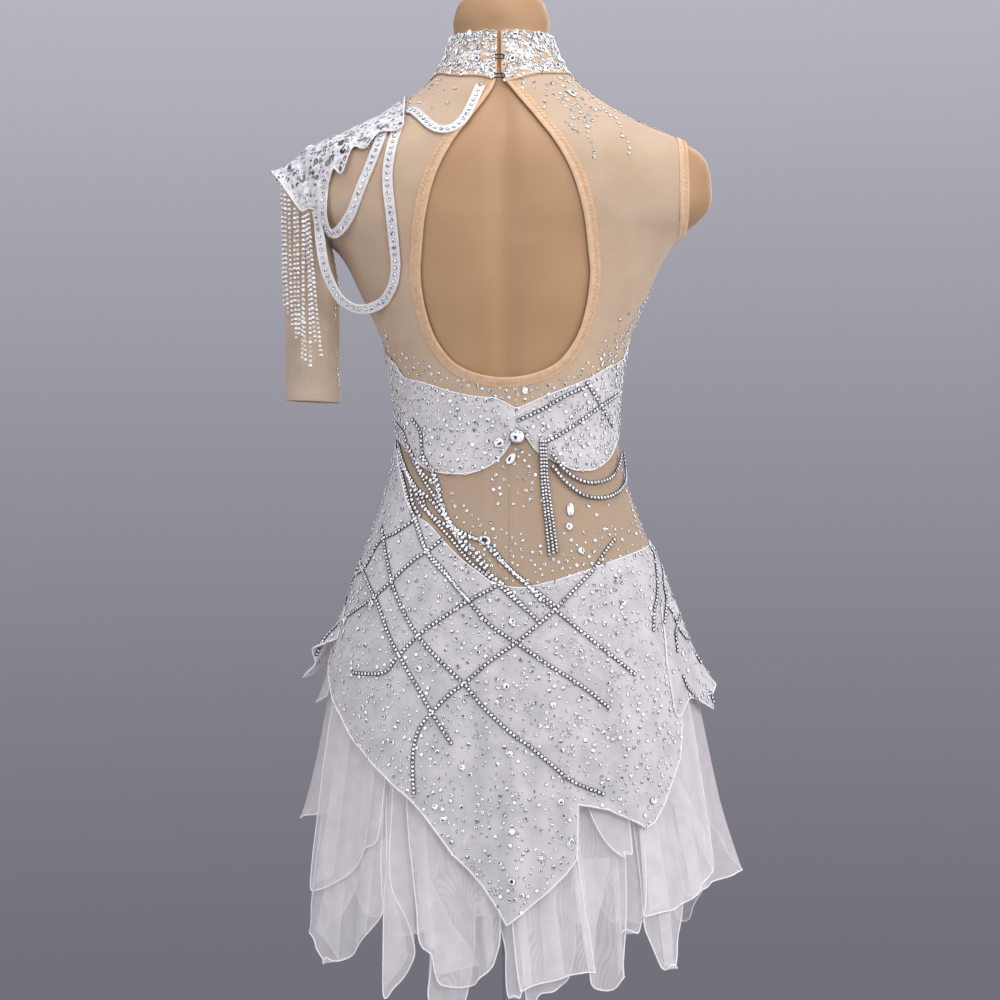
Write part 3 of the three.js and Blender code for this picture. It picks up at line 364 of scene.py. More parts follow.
def copies(batch, template, centres, normals, sizes, rng, mark, kind, stretch=1.0, along=None):
    """A copy of a template at every centre, standing on its foot along the normal."""
    points, bands, foot, table = template
    first, second = axes_of(normals, rng, along)
    sizes = np.broadcast_to(np.asarray(sizes, float), len(centres))[:, None, None]
    placed = centres[:, None] + sizes * (
        points[:, 0, None] * stretch * first[:, None] + points[:, 1, None] * second[:, None]
        + points[:, 2, None] * normals[:, None])
    starts = (np.arange(len(centres)) * len(points))[:, None, None]
    faces, tones = [], []
    for level, group in enumerate(bands + [foot, table]):
        faces.append((group[None] + starts).reshape(-1, group.shape[1]))
        count = len(group) * len(centres)
        # Painted facet shading: the lowest band and the foot get a painted shadow ring, the other bands a mix of
        # painted reflection, and a wedge of the table a dark painted reflection; metal stays even
        if kind == "metal":
            tones.append(np.ones(count))
        elif level == len(bands) + 1:
            dark = rng.choice(PAINTED_DARK_FACETS[kind], len(centres))[:, None]
            start = rng.integers(0, len(group), (len(centres), 1))
            turned = (np.arange(len(group))[None] + start) % len(group)
            wedge = (turned < dark * len(group) / 8).ravel()
            tones.append(np.where(wedge, rng.uniform(0.0, 0.06, count), rng.uniform(0.9, 1.0, count)))
        elif level == 0 or level == len(bands):
            tones.append(rng.uniform(0.0, 0.25, count))
        else:
            tones.append(rng.choice(CROWN_SHADING[kind], count))
    batch.add(placed, faces, mark, np.concatenate(tones))


STONE = facets(STONE_RINGS, 7, 0.6, TABLE_SHIFT)
SMALL_STONE = facets(STONE_RINGS, 6)
SMALL_UP_TO, GEM_FROM = 1.1, 2.9
GEM = facets(GEM_RINGS, 12, 0.72)
SQUARE_GEM = facets(GEM_RINGS, 8, 0.72)
CUP = facets(CUP_RINGS, 7)


def chain(batch, line, normals, pitch, radius, rng):
    """Cup chain: a stone in a metal cup at every pitch along a line, with a link between cups."""
    path = resampled(np.concatenate([line, normals], 1), pitch)
    centres, normals = path[:, :3], unit(path[:, 3:])
    ahead = unit(np.gradient(centres, axis=0))
    copies(batch, CUP, centres, normals, radius, rng, 1, "metal", along=ahead)
    copies(batch, STONE, centres + normals * radius * 0.24, normals, radius * 0.8, rng, 0, "bright")
    for k in range(len(centres) - 1):
        gap = [mix(centres[k], centres[k + 1], t) + normals[k] * 0.3 * radius for t in (0.25, 0.75)]
        tube(batch, gap, radius * 0.28, 4, 1)


def linear(*rgb):
    """Scene-linear colour of display values from 0 to 255."""
    values = [channel / 255 for channel in rgb]
    return tuple(v / 12.92 if v <= 0.04045 else ((v + 0.055) / 1.055) ** 2.4 for v in values)


class Nodes:
    """Nodes of one material or of the sky."""

    def __init__(self, tree):
        self.nodes, self.links = tree.nodes, tree.links

    def add(self, kind, inputs, **settings):
        """New node, whose inputs are set to values or linked to other nodes' outputs."""
        made = self.nodes.new("ShaderNode" + kind)
        for key, value in settings.items():
            setattr(made, key, value)
        for key, value in inputs.items():
            if isinstance(value, bpy.types.NodeSocket):
                self.links.new(value, made.inputs[key])
            else:
                made.inputs[key].default_value = value
        return made

    def mixed(self, factor, *pair):
        """Mix of two colours, each given in display values or as another node's output."""
        a, b = (each if isinstance(each, bpy.types.NodeSocket) else (*linear(*each), 1) for each in pair)
        return self.add("Mix", {"Factor": factor, "A": a, "B": b}, data_type="RGBA").outputs["Result"]

    def ranged(self, value, **limits):
        """Value mapped from one range to another."""
        named = {key.replace("_", " ").title(): limit for key, limit in limits.items()}
        return self.add("MapRange", {"Value": value, **named}).outputs["Result"]

    def noise(self, place, size, detail):
        """Noise whose grains are about size millimetres."""
        made = self.add("TexNoise", {"Scale": 1 / (size * MM), "Detail": detail, "Vector": place})
        return made.outputs["Fac"]

    def grain(self, place, size):
        """Noise for a bump."""
        return self.noise(place, size, BUMP_DETAIL)

    def weave(self, place, size):
        """Threads of two directions, size millimetres apart."""
        threads = [
            self.add("TexWave", {"Scale": WAVE_SCALE / (size * MM), "Distortion": 0.6, "Vector": place},
                     bands_direction=axis).outputs["Fac"] for axis in ("X", "Z")]
        return self.add("Math", {0: threads[0], 1: threads[1]}, operation="MULTIPLY").outputs["Value"]

    def brushed(self, place, size):
        """Fine lines along the upright axis."""
        long = self.add("Mapping", {"Scale": (1, 1, 0.04), "Vector": place})
        return self.grain(long.outputs["Vector"], size)

    def wavy_rings(self, place, centre, size):
        """Uneven rings round a point, for the moire of two sheer layers."""
        moved = self.add("Mapping", {"Location": centre, "Scale": (1, 1, 0.34), "Vector": place})
        made = self.add("TexWave", {
            "Scale": WAVE_SCALE / (size * MM), "Distortion": 60, "Detail": 1, "Detail Scale": 0.3,
            "Vector": moved.outputs["Vector"]}, wave_type="RINGS", rings_direction="Y")
        return made.outputs["Fac"]


# A wave texture of this scale repeats once a metre; detail of the noise in bumps and in colours
WAVE_SCALE = 0.314
BUMP_DETAIL = 4
COLOUR_DETAIL = 5


def material(name, colour, other, spread, rough, bumps=(), tone=None, alpha=1.0, rings=None, motif=0.14,
             below=None, painted_glow=0.0, **sockets):
    """Procedural surface: two colours mixed by noise of the given grain size, bumps, and fixed sockets.

    below is (low, high, colour): the colour of painted shade that takes over from the high to the low height in
    metres.
    A bump is (kind, size, depth, strength), with its size and depth in millimetres."""
    made = bpy.data.materials.new(name)
    made.use_nodes = True
    tree, shader = Nodes(made.node_tree), made.node_tree.nodes["Principled BSDF"]
    place = tree.add("TexCoord", {}).outputs["Object"]
    spots = tree.ranged(tree.noise(place, spread, COLOUR_DETAIL), from_min=0.5 - motif, from_max=0.5 + motif)
    result = tree.mixed(spots, colour, other)
    # Painted shade: darker towards the bottom
    if below:
        height = tree.add("SeparateXYZ", {"Vector": place}).outputs["Z"]
        result = tree.mixed(tree.ranged(height, from_min=below[0], from_max=below[1]), below[2], result)
    # Painted shade on facets: the dark shade colour takes over where a face's painted shade share falls to 0
    if tone:
        facet = tree.add("Attribute", {}, attribute_name="tone").outputs["Fac"]
        result = tree.mixed(facet, tone, result)
    shader.inputs["Roughness"].default_value = rough
    shader.inputs["Alpha"].default_value = alpha
    if rings:
        grain = tree.wavy_rings(place, rings["centre"], rings["size"])
        result = tree.mixed(tree.ranged(grain, to_max=0.28), result, rings["colour"])
        veil = tree.ranged(grain, to_min=alpha - 0.03, to_max=alpha + 0.04)
        tree.links.new(veil, shader.inputs["Alpha"])
    tree.links.new(result, shader.inputs["Base Color"])
    # Painted glow: the colour, with its painted facet shading, also glows as emission of this strength
    if painted_glow:
        tree.links.new(result, shader.inputs["Emission Color"])
        shader.inputs["Emission Strength"].default_value = painted_glow
    for key, value in sockets.items():
        shader.inputs[key.replace("_", " ").title().replace("Ior", "IOR")].default_value = value
    normal = {}
    for kind, size, depth, strength in bumps:
        height = {"grain": tree.grain, "weave": tree.weave, "brushed": tree.brushed}[kind](place, size)
        bump = tree.add("Bump", {"Distance": depth * MM, "Strength": strength, "Height": height, **normal})
        normal = {"Normal": bump.outputs["Normal"]}
    for key, socket in normal.items():
        tree.links.new(socket, shader.inputs[key])
    return made


SKIN = material("form_skin", (188, 150, 112), (180, 142, 104), 60, 0.52, [("grain", 1.2, 0.12, 0.35)])
STEEL = material("brushed_steel", (186, 189, 194), (168, 171, 176), 9, 0.34,
                 [("brushed", 0.5, 0.05, 0.5)], metallic=0.9)
# Nude mesh: its colour fades darker under 1.07 m, a painted shade over the midriff
NET = material("nude_mesh", (213, 187, 161), (205, 178, 151), 34, 0.86,
               [("weave", 1.5, 0.3, 0.6),
                ("grain", 9, 0.9, 0.4)], alpha=0.92, below=(1.03, 1.07, (184, 160, 136)),
               sheen_weight=0.25)
SLEEVE_NET = material("sleeve_mesh", (224, 204, 181), (212, 191, 168), 22, 0.86,
                      [("weave", 1.1, 0.25, 0.5), ("grain", 11, 0.9, 0.35)], alpha=0.8, sheen_weight=0.25)
PEACH = material("peach_binding", (228, 194, 159), (218, 181, 146), 5, 0.72,
                 [("weave", 0.9, 0.2, 0.6), ("grain", 2.2, 0.3, 0.4)], sheen_weight=0.2)
THREAD = material("peach_thread", (240, 212, 178), (224, 188, 152), 1.5, 0.6, [("grain", 0.5, 0.1, 0.5)])
WHITE_CLOTH = material("white_stretch", (224, 221, 222), (208, 205, 208), 20, 0.62,
                       [("weave", 0.8, 0.15, 0.4), ("grain", 8, 0.8, 0.35)], sheen_weight=0.3)
# Hip cloth and flaps: the band's white stretch painted darker, as painted shade
SHADED_HIP_CLOTH = material("hip_stretch", (212, 209, 212), (194, 191, 195), 20, 0.62,
                     [("weave", 0.8, 0.15, 0.4), ("grain", 8, 0.8, 0.35)], sheen_weight=0.3)
# Shoulder-cap lace: its pattern drawn as white and grey patches, the grey a painted shade of the lace's relief
CAP_LACE = material("cap_lace", (246, 245, 247), (214, 212, 217), 4.5, 0.55,
                    [("weave", 1.4, 0.4, 0.6), ("grain", 3, 0.8, 0.6)], motif=0.06)
HEM = material("white_hem", (248, 247, 248), (234, 232, 235), 3, 0.5, [("grain", 0.7, 0.15, 0.5)])
SATIN = material("strap_satin", (243, 242, 244), (228, 227, 231), 6, 0.36, [("weave", 0.7, 0.1, 0.4)],
                 sheen_weight=0.2)
CHIFFON = material("sheer_chiffon", (240, 236, 237), (228, 223, 226), 16, 0.7,
                   [("weave", 1.3, 0.2, 0.5), ("grain", 9, 0.7, 0.3)], alpha=0.56, sheen_weight=0.35)
CHIFFON_MOIRE = material("moire_chiffon", (232, 228, 230), (222, 217, 221), 16, 0.7,
                         [("weave", 1.3, 0.2, 0.5), ("grain", 9, 0.7, 0.3)], alpha=0.56, sheen_weight=0.35,
                         rings={"centre": (0.066, 0, -0.2), "size": 3.4, "colour": (250, 248, 250)})
CHIFFON_DOUBLE = material("doubled_chiffon", (252, 250, 251), (240, 237, 240), 14, 0.7,
                          [("weave", 1.3, 0.2, 0.5)], alpha=0.42, sheen_weight=0.5)
ROLLED = material("rolled_hem", (255, 254, 255), (244, 242, 246), 3, 0.5, [("grain", 0.6, 0.1, 0.5)])
LACE_CLOTH = material("collar_lace", (240, 238, 240), (206, 178, 148), 6.5, 0.6,
                      [("weave", 1.4, 0.4, 0.6), ("grain", 3, 0.5, 0.5)], motif=0.035)
# Crystal: white, with the near-black colour painted on facets as painted reflection and shade, and the same colours
# glowing weakly as a painted glow
CRYSTAL = material("crystal", (255, 255, 255), (238, 240, 245), 2.5, 0.14, [("grain", 0.6, 0.03, 0.2)],
                   tone=(12, 12, 15), painted_glow=0.22, specular_ior_level=0.6, coat_weight=0.2)
METAL = material("cup_metal", (84, 83, 86), (48, 47, 50), 2.2, 0.34, [("grain", 0.5, 0.05, 0.4)],
                 metallic=0.8)
PEARL = material("bead", (240, 233, 222), (218, 205, 188), 3.2, 0.22, [("grain", 0.8, 0.05, 0.3)],
                 coat_weight=0.5)
STONES = [CRYSTAL, METAL]


def finish_piece(name, batch, materials, over=(), smooth=40):
    """Mesh object from a batch, which rides on the only body."""
    mesh = bpy.data.meshes.new(name)
    mesh.from_pydata((np.concatenate(batch.points) * MM).tolist(), [], batch.faces)
    for each in materials:
        mesh.materials.append(each)
    mesh.polygons.foreach_set("material_index", batch.marks)
    # Painted facet shading of each face, which the crystal's colour reads
    tones = mesh.attributes.new("tone", "FLOAT", "FACE")
    tones.data.foreach_set("value", np.array(batch.tones, np.float32))
    if smooth:
        mesh.shade_smooth()
        mesh.set_sharp_from_angle(angle=math.radians(smooth))
    mesh.update()
    made = bpy.data.objects.new(name, mesh)
    bpy.context.scene.collection.objects.link(made)
    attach(made, "root")
    if over:
        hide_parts(*over)
    return made


def cords(name, lines, look, sides=6, ring=False):
    """Thin rolled edge or seam along each line, which is given with its radius."""
    batch = Batch()
    for line, radius in lines:
        tube(batch, line, radius, sides, ring=ring)
    return finish_piece(name, batch, [look])


def area_of(grid):
    a, b = grid[:-1, 1:] - grid[:-1, :-1], grid[1:, :-1] - grid[:-1, :-1]
    c, d = grid[1:, :-1] - grid[1:, 1:], grid[:-1, 1:] - grid[1:, 1:]
    return (np.linalg.norm(np.cross(a, b), axis=-1) + np.linalg.norm(np.cross(c, d), axis=-1)).sum() / 2


def cloth(made, grid, width=0):
    """Works out the width of the flat cut that a sheet's grid was laid out from, and hands back the sheet; the width
    is not kept.
    """
    across = np.linalg.norm(np.diff(grid, axis=1), axis=-1)
    width = math.ceil((width or across.sum(1).max()) + 1) * MM
    return made


# Surfaces that stones and chains from the photograph are laid on, and how far past their outline a ray
# may pass and still be laid on the nearest of them
CARRIERS = {}
NEAR_MISS = 40


def carry(name, outer, ring=False):
    height, width = outer.shape[:2]
    ids = ids_of(width, height)
    if ring:
        ids = np.concatenate([ids, ids[:, :1]], 1)
    CARRIERS[name] = (outer.reshape(-1, 3), cells(ids))


def tree_of(names):
    points, faces, size = [], [], 0
    for name in names:
        some, quads = CARRIERS[name]
        points.append(some)
        faces += (quads + size).tolist()
        size += len(some)
    return BVHTree.FromPolygons(np.concatenate(points).tolist(), faces)


def dress_tree():
    """Search tree of every carrier but the cap and the sleeve, which stones of their own are laid on."""
    return tree_of([name for name in CARRIERS if name not in ("cap", "sleeve")])


def sight(column, row):
    """Way of the camera's ray through a pixel of the photograph."""
    x = (column - CENTRE_COLUMN) + LEAN * (CENTRE_ROW - row)
    z = EYE[2] + (CENTRE_ROW - row) - LEAN * (column - CENTRE_COLUMN)
    return unit(np.array([x, 0.0, z]) - EYE)


def laid(tree, pixels, lift=0.0):
    """Points and normals where rays through pixels meet the carriers. Rays that miss are left out."""
    points, normals = [], []
    for column, row in pixels:
        way = sight(column, row)
        spot, normal, _, _ = tree.ray_cast(Vector(EYE), Vector(way))
        if spot is None:
            spot, normal, _, gap = tree.find_nearest(Vector(EYE - way * EYE[1] / way[1]))
            if gap > NEAR_MISS:
                continue
        normal = np.array(normal)
        if normal.dot(way) > 0.2:
            normal = -normal
        points.append(np.array(spot) + normal * lift)
        normals.append(normal)
    return np.array(points).reshape(-1, 3), np.array(normals).reshape(-1, 3)


def laid_line(tree, pixels, lift=0.2, step=3.0):
    path = resampled(smooth_path(np.array(pixels, float), 6), step)
    points, normals = laid(tree, path, lift)
    if len(points) > 4:
        kernel = np.array([1, 2, 3, 2, 1]) / 9
        for _ in range(2):
            padded = np.concatenate([normals[:1]] * 2 + [normals] + [normals[-1:]] * 2)
            normals = unit(np.stack([np.convolve(padded[:, k], kernel, "valid") for k in range(3)], 1))
    return points, normals


def scattered(outer, count, gap, rng, keep=None):
    """Random spots on a grid's cells by area, at least a gap apart, with their normals."""
    a, b, c, d = outer[:-1, :-1], outer[:-1, 1:], outer[1:, 1:], outer[1:, :-1]
    normal = np.cross(c - a, d - b)
    area = np.linalg.norm(normal, axis=-1).ravel()
    flat = [corner.reshape(-1, 3) for corner in (a, b, c, d)]
    normal = unit(normal.reshape(-1, 3))
    picks = rng.choice(len(area), count * 4, p=area / area.sum())
    s, t = rng.uniform(size=(2, len(picks), 1))
    spots = mix(mix(flat[0][picks], flat[1][picks], s), mix(flat[3][picks], flat[2][picks], s), t)
    chance = rng.uniform(size=len(picks))
    wanted = np.ones(len(picks)) if keep is None else keep(spots)
    taken, result = {}, []
    for k, spot in enumerate(spots):
        if chance[k] > wanted[k]:
            continue
        home = tuple(np.floor(spot / gap).astype(int))
        near = (taken.get((home[0] + i, home[1] + j, home[2] + m), ())
                for i in (-1, 0, 1) for j in (-1, 0, 1) for m in (-1, 0, 1))
        if any(np.linalg.norm(spot - other) < gap for group in near for other in group):
            continue
        taken.setdefault(home, []).append(spot)
        result.append(k)
        if len(result) >= count:
            break
    return spots[result], normal[picks[result]]


def creased(across, z, lines):
    """Height of soft creases, each a line [across, z, across, z, width, height]."""
    height = 0 * across * z
    for x0, z0, x1, z1, width, depth in lines:
        span = np.array([x1 - x0, z1 - z0])
        long = np.hypot(*span)
        t = ((across - x0) * span[0] + (z - z0) * span[1]) / long**2
        off = ((across - x0) * span[1] - (z - z0) * span[0]) / long
        fade = np.clip(t * (1 - t) * 4, 0, 1) ** 0.5
        height = height + depth * fade * np.exp(-((off / width) ** 2))
    return height


# Dress form and stand
FORM_SIDES = 112
FORM_STEP = 5
# How the form's sections shrink towards its two ends, as height and share
FORM_ENDS = np.array([
    (740, 0.945), (742, 0.968), (745, 0.982), (750, 0.993), (760, 1), (1464, 1), (1468, 0.993), (1472, 0.98),
    (1476, 0.95), (1479, 0.91), (1481.5, 0.84), (1483.2, 0.74), (FORM_TOP, 0.62),
])
SPINE = {"from": 1060, "to": 1400, "depth": 4.6, "width": 7.5}
NECK_SPREAD = 3.4
BLADE = {"turn": 27, "z": 1262, "wide": 17, "tall": 62, "height": 1.1}


def form_body():
    ends = FORM_ENDS[:, 0]
    heights = np.concatenate([ends[:4], np.arange(760, 1470, FORM_STEP), ends[-6:]])
    shrink = np.interp(heights, *FORM_ENDS.T)
    turns = np.linspace(0, 360, FORM_SIDES, endpoint=False)
    turn, z = np.meshgrid(turns, heights)
    section = section_at(FORM, z)
    section[..., 1:4] += NECK_SPREAD * ease(z, 1443, 1462)[..., None]
    section[..., 1:4] *= shrink[:, None, None]
    away = np.abs((turn + 180) % 360 - 180)
    reach = ease(z, SPINE["from"], SPINE["from"] + 60) * (1 - ease(z, SPINE["to"] - 50, SPINE["to"]))
    groove = -SPINE["depth"] * reach * np.exp(-((away / SPINE["width"]) ** 2))
    blades = BLADE["height"] * np.exp(-(((away - BLADE["turn"]) / BLADE["wide"]) ** 2)
                                      - ((z - BLADE["z"]) / BLADE["tall"]) ** 2)
    points = on_section(section, turn, z)
    points = points + form_normal(turn, z) * (groove + blades)[..., None]
    ids = ids_of(FORM_SIDES, len(heights))
    ids = np.concatenate([ids, ids[:, :1]], 1)
    batch = Batch().add(points, [cells(ids), ids[:1, :-1][:, ::-1], ids[-1:, :-1]])
    finish_piece("form_body", batch, [SKIN], ["dress_form"], smooth=60)


def stand():
    r, h = STAND["base_radius"], STAND["base_height"]
    rim = [(r - 3, 0), (r - 0.8, 0.8), (r, 2.5), (r, h * 0.45), (r - 1.2, h * 0.62), (r - 6, h * 0.78),
           (r * 0.75, h * 0.9), (r * 0.5, h * 0.97), (20, h), (13, h)]
    finish_piece("stand_base_plate", lathe(Batch(), rim, 128), [STEEL], ["stand_base"])
    socket_bottom = FORM_BOTTOM - SEAM - STAND["socket_height"]
    foot, top, pole = h + SEAM, socket_bottom - SEAM, STAND["pole_radius"]
    tube_profile = [(pole - 0.6, foot), (pole, foot + 0.6), (pole, top - 0.6), (pole - 0.6, top)]
    finish_piece("stand_pole_tube", lathe(Batch(), tube_profile, 48), [STEEL], ["stand_pole"])
    wide, tall = STAND["socket_radius"], STAND["socket_height"]
    brim = socket_bottom + tall
    cup = [(wide * 0.68, socket_bottom), (wide * 0.72, socket_bottom + 1), (wide * 0.97, brim - 1.5),
           (wide, brim - 0.6), (wide - 0.6, brim)]
    finish_piece("stand_socket_cup", lathe(Batch(), cup, 64), [STEEL], ["stand_socket"])


# Lower edge of the collar as [turn, z], the same on both sides
COLLAR_EDGE = [(0, 1389), (30, 1395), (60, 1401), (90, 1402), (120, 1398), (180, 1386)]


def collar_edge(turn):
    return smooth_at(COLLAR_EDGE, 180 - np.abs(180 - np.mod(turn + 360, 360)))


# Left half of the back opening's edge from the collar down, then its right half, as [turn, z]
OPENING = [
    (-5, 1442), (-5, 1420), (-5, 1402), (-5.5, 1392), (-9, 1380), (-16.5, 1363), (-22, 1349), (-27, 1333),
    (-30.5, 1317), (-33.5, 1300), (-36, 1280), (-38, 1260), (-40, 1241), (-41.5, 1222), (-43, 1203),
    (-43.5, 1185), (-43.5, 1167), (-42.5, 1150), (-40.5, 1137), (-37, 1125), (-32, 1114.5), (-25, 1107),
    (-16, 1102), (-7, 1099.5), (0, 1099), (7, 1099.5), (16, 1102), (25, 1107), (32, 1114.5), (37, 1125),
    (40.5, 1137), (42.5, 1150), (43.5, 1167), (43.5, 1185), (43, 1203), (41.5, 1222), (40, 1241),
    (38, 1260), (36, 1280), (33.5, 1300), (30.5, 1317), (27, 1333), (22, 1349), (16.5, 1363), (8, 1380),
    (1, 1392), (-1, 1402), (-1, 1420), (-1, 1442),
]
LOWEST = OPENING.index((0, 1099))
OPENING_STEPS = 8
OPENING_LINE = smooth_path(np.array(OPENING, float), OPENING_STEPS)


def moved_aside(path, width):
    """Moves a [turn, z] path sideways over the form, by width millimetres to its right."""
    turn, z = path.T
    degree = np.radians(1) * np.hypot(*on_form(turn, z).T[:2])
    step = np.gradient(path, axis=0)
    along = unit(np.stack([step[:, 0] * degree, step[:, 1]], 1))
    return np.stack([turn + along[:, 1] * width / degree, z - along[:, 0] * width], 1)


def binding_width(z):
    return mix(9.5, 5, ease(z, 1360, 1400))


RIM_LINE = moved_aside(OPENING_LINE, binding_width(OPENING_LINE[:, 1]))
RIM_LINE[:, 1] = np.minimum(RIM_LINE[:, 1], COLLAR_TOP)
MIDDLE_LINE = moved_aside(OPENING_LINE, 0.5 * binding_width(OPENING_LINE[:, 1]))


def rim_turn(z, right):
    """Turn at which a back panel's edge lies under the binding at height z."""
    lowest = LOWEST * OPENING_STEPS
    half = MIDDLE_LINE[lowest:] if right else MIDDLE_LINE[:lowest + 1][::-1]
    order = np.maximum.accumulate(half[:, 1])
    turn = np.interp(z, order, half[:, 0])
    return np.where(z <= order[0], 0.05 if right else -0.05, turn)


def side_turn(z, front):
    """Turn of the side seam, or of the armhole's edge above the armpit."""
    reach = ARMHOLE_X - 0.5
    open_side = section_at(FORM, z)[..., 1] > reach
    straight = 90.02 if front else 89.98
    return np.where(open_side, turn_at_x(reach, z, front), straight)


# Creases of the nude mesh as [turn, z, turn, z, width, height]: width in degrees or millimetres
YOKE_CREASES = [
    (-58, 1190, -66, 1120, 2.2, 0.9), (-66, 1200, -74, 1128, 2.6, 0.8), (-50, 1160, -62, 1112, 2.0, 0.7),
    (-72, 1180, -80, 1120, 2.4, 0.8), (-46, 1330, -62, 1290, 2.6, 0.7), (-52, 1300, -70, 1250, 3.0, 0.8),
    (54, 1190, 62, 1124, 2.4, 0.7), (64, 1200, 72, 1134, 2.6, 0.8), (48, 1150, 56, 1110, 1.8, 0.6),
    (-30, 1040, -33, 940, 1.6, 0.7), (-14, 1012, -13, 930, 1.4, 0.6), (-5, 1010, -8, 925, 1.2, 0.5),
    (4, 1030, 2, 930, 1.3, 0.6), (14, 1000, 11, 935, 1.5, 0.5), (33, 990, 31, 935, 1.6, 0.5),
    (46, 985, 52, 935, 2.0, 0.6), (-40, 1000, -30, 965, 2.0, 0.7), (-3, 1060, 22, 1082, 1.6, 0.4),
    (70, 1010, 62, 950, 2.2, 0.6),
]
# Heights between which the front panel rises over the back ones, and by how much
SHOULDER_EASE = (1226, 1250, 2)
NUDE_FOOT, NUDE_NECK = 866, 1383
# Rows of the nude panels, closer over the shoulder and where an edge runs nearly level, as (from, to, step)
NUDE_ROWS = [
    (NUDE_FOOT, ARMPIT_Z, 7.0), (ARMPIT_Z, NUDE_NECK, 4.0), (1088, 1112, 1.0), (1238, 1250, 1.0),
    (1334, 1344, 1.0),
]


def nude_panel(name, turns_at, columns):
    """Mesh panel between two turns at every height; above the neck's height it closes to the collar."""
    neck = NUDE_NECK
    heights = np.unique(np.concatenate([np.arange(*row) for row in NUDE_ROWS] + [[neck]]))
    levels = np.concatenate([heights, neck + np.linspace(0.12, 1, 6)])
    share = np.linspace(0, 1, columns + 1)
    top = np.minimum(levels, neck)
    first, last = turns_at(top)
    turn = mix(first[:, None], last[:, None], share[None])
    z = np.where(levels[:, None] <= neck, levels[:, None] + 0 * turn,
                 mix(neck, collar_edge(turn) + 4, np.clip(levels[:, None] - neck, 0, 1)))
    lift = SHOULDER_EASE[2] * ease(z, *SHOULDER_EASE[:2]) if name == "front_panel" else 0 * z
    lift = lift + creased(turn, z, YOKE_CREASES)
    inner, thick = NUDE
    low, high = over_form(turn, z, inner + lift), over_form(turn, z, inner + thick + lift)
    made = finish_piece(name + "_mesh", shell(Batch(), low, high), [NET], [name])
    carry(name, high)
    cloth(made, high)


def nude_panels():
    nude_panel("back_right", lambda z: (rim_turn(z, True), side_turn(z, False)), 44)
    nude_panel("back_left", lambda z: (-side_turn(z, False), rim_turn(z, False)), 44)
    nude_panel("front_panel", lambda z: (side_turn(z, True), 360 - side_turn(z, True)), 64)


def collar():
    share = np.linspace(0, 1, 181)
    rows = np.linspace(0, 1, 11)
    v, u = np.meshgrid(rows, share, indexing="ij")
    first, last = -1 + 2.5, 360 - 5 - 2.5
    turn = mix(first, last, u)
    scallop = 1.4 * np.sin(np.radians(turn) * 7 + 1)
    edge = collar_edge(turn) - scallop
    z = mix(edge, COLLAR_TOP, v)
    inner, thick = LACE
    puff = 0.35 * np.sin(np.pi * v)
    low, high = over_form(turn, z, inner), over_form(turn, z, inner + thick + puff)
    edging = cords("collar_edging", [(high[0], 1.0), (high[-1], 0.8)], PEACH)
    band = shell(Batch(), low, high)
    made = finish_piece("collar_lace_band", band, [LACE_CLOTH], ["collar"])
    carry("collar", high)
    cloth(made, high)
    return high


def zigzag(batch, first, second, normals, pitch, radius, mark=0):
    """Zigzag thread between two lines."""
    count = int(measured(first)[-1] / pitch)
    marks = np.linspace(0, len(first) - 1, count)
    spots = []
    for k, at in enumerate(marks):
        side = first if k % 2 else second
        spots.append(rows_at(side, np.array(at)) + rows_at(normals, np.array(at)) * 0.2)
    tube(batch, np.array(spots), radius, 4, mark)


def strip(name, inner_line, outer_line, place, over, ring=False):
    """Folded strip between two lines of surface coordinates, with cover stitching along it."""
    across = np.linspace(0, 1, 9)
    line = mix(inner_line[None], outer_line[None], across[:, None, None])
    inner, thick = BINDING
    swell = thick * (0.5 + 0.75 * np.exp(-(((across - 0.2) / 0.2) ** 2)))[:, None]
    ribs = 0.1 * np.sin(np.arange(len(inner_line)) * 1.9)[None] * np.sin(np.pi * across)[:, None]
    low = place(line, inner + 0 * swell)
    high = place(line, inner + swell + ribs)
    made = finish_piece(name + "_strip", shell(Batch(), low, high, ring), [PEACH], over)
    normals = unit(high[4] - low[4])
    sewing = Batch()
    zigzag(sewing, high[4], high[7], normals, 2.0, 0.36)
    stitches = finish_piece(name + "_stitches", sewing, [THREAD])
    carry(name, high, ring)
    cloth(made, high)


def bindings():
    strip("opening_binding", OPENING_LINE, RIM_LINE,
          lambda line, out: over_form(line[..., 0], line[..., 1], out), ["opening_binding"])
    angles = np.linspace(0, 360, 120, endpoint=False)
    lines = [np.stack([x + 0 * angles, angles], 1) for x in (ARMHOLE_X - 2.5, ARMHOLE_X + 7)]

    def round_arm(line, out):
        x, angle = line[..., 0], line[..., 1]
        row = np.stack([x, ARMPIT_Z + 0 * x, x, ARMPIT_Z + 20 + 0 * x, 20 + 0 * x], -1)
        return arm_point(row, angle, out, 0 * x)
    strip("armhole_binding", lines[0], lines[1], round_arm, ["armhole_binding"], True)


CENTRE_SEAM_PX = [(516.5, 383), (517, 394), (516.5, 406)]


def centre_seam():
    points, _ = laid(tree_of(["back_left", "back_right"]), smooth_path(np.array(CENTRE_SEAM_PX, float), 6),
                     0.3)
    finish_piece("centre_seam", tube(Batch(), points, 0.9, 8), [PEACH])


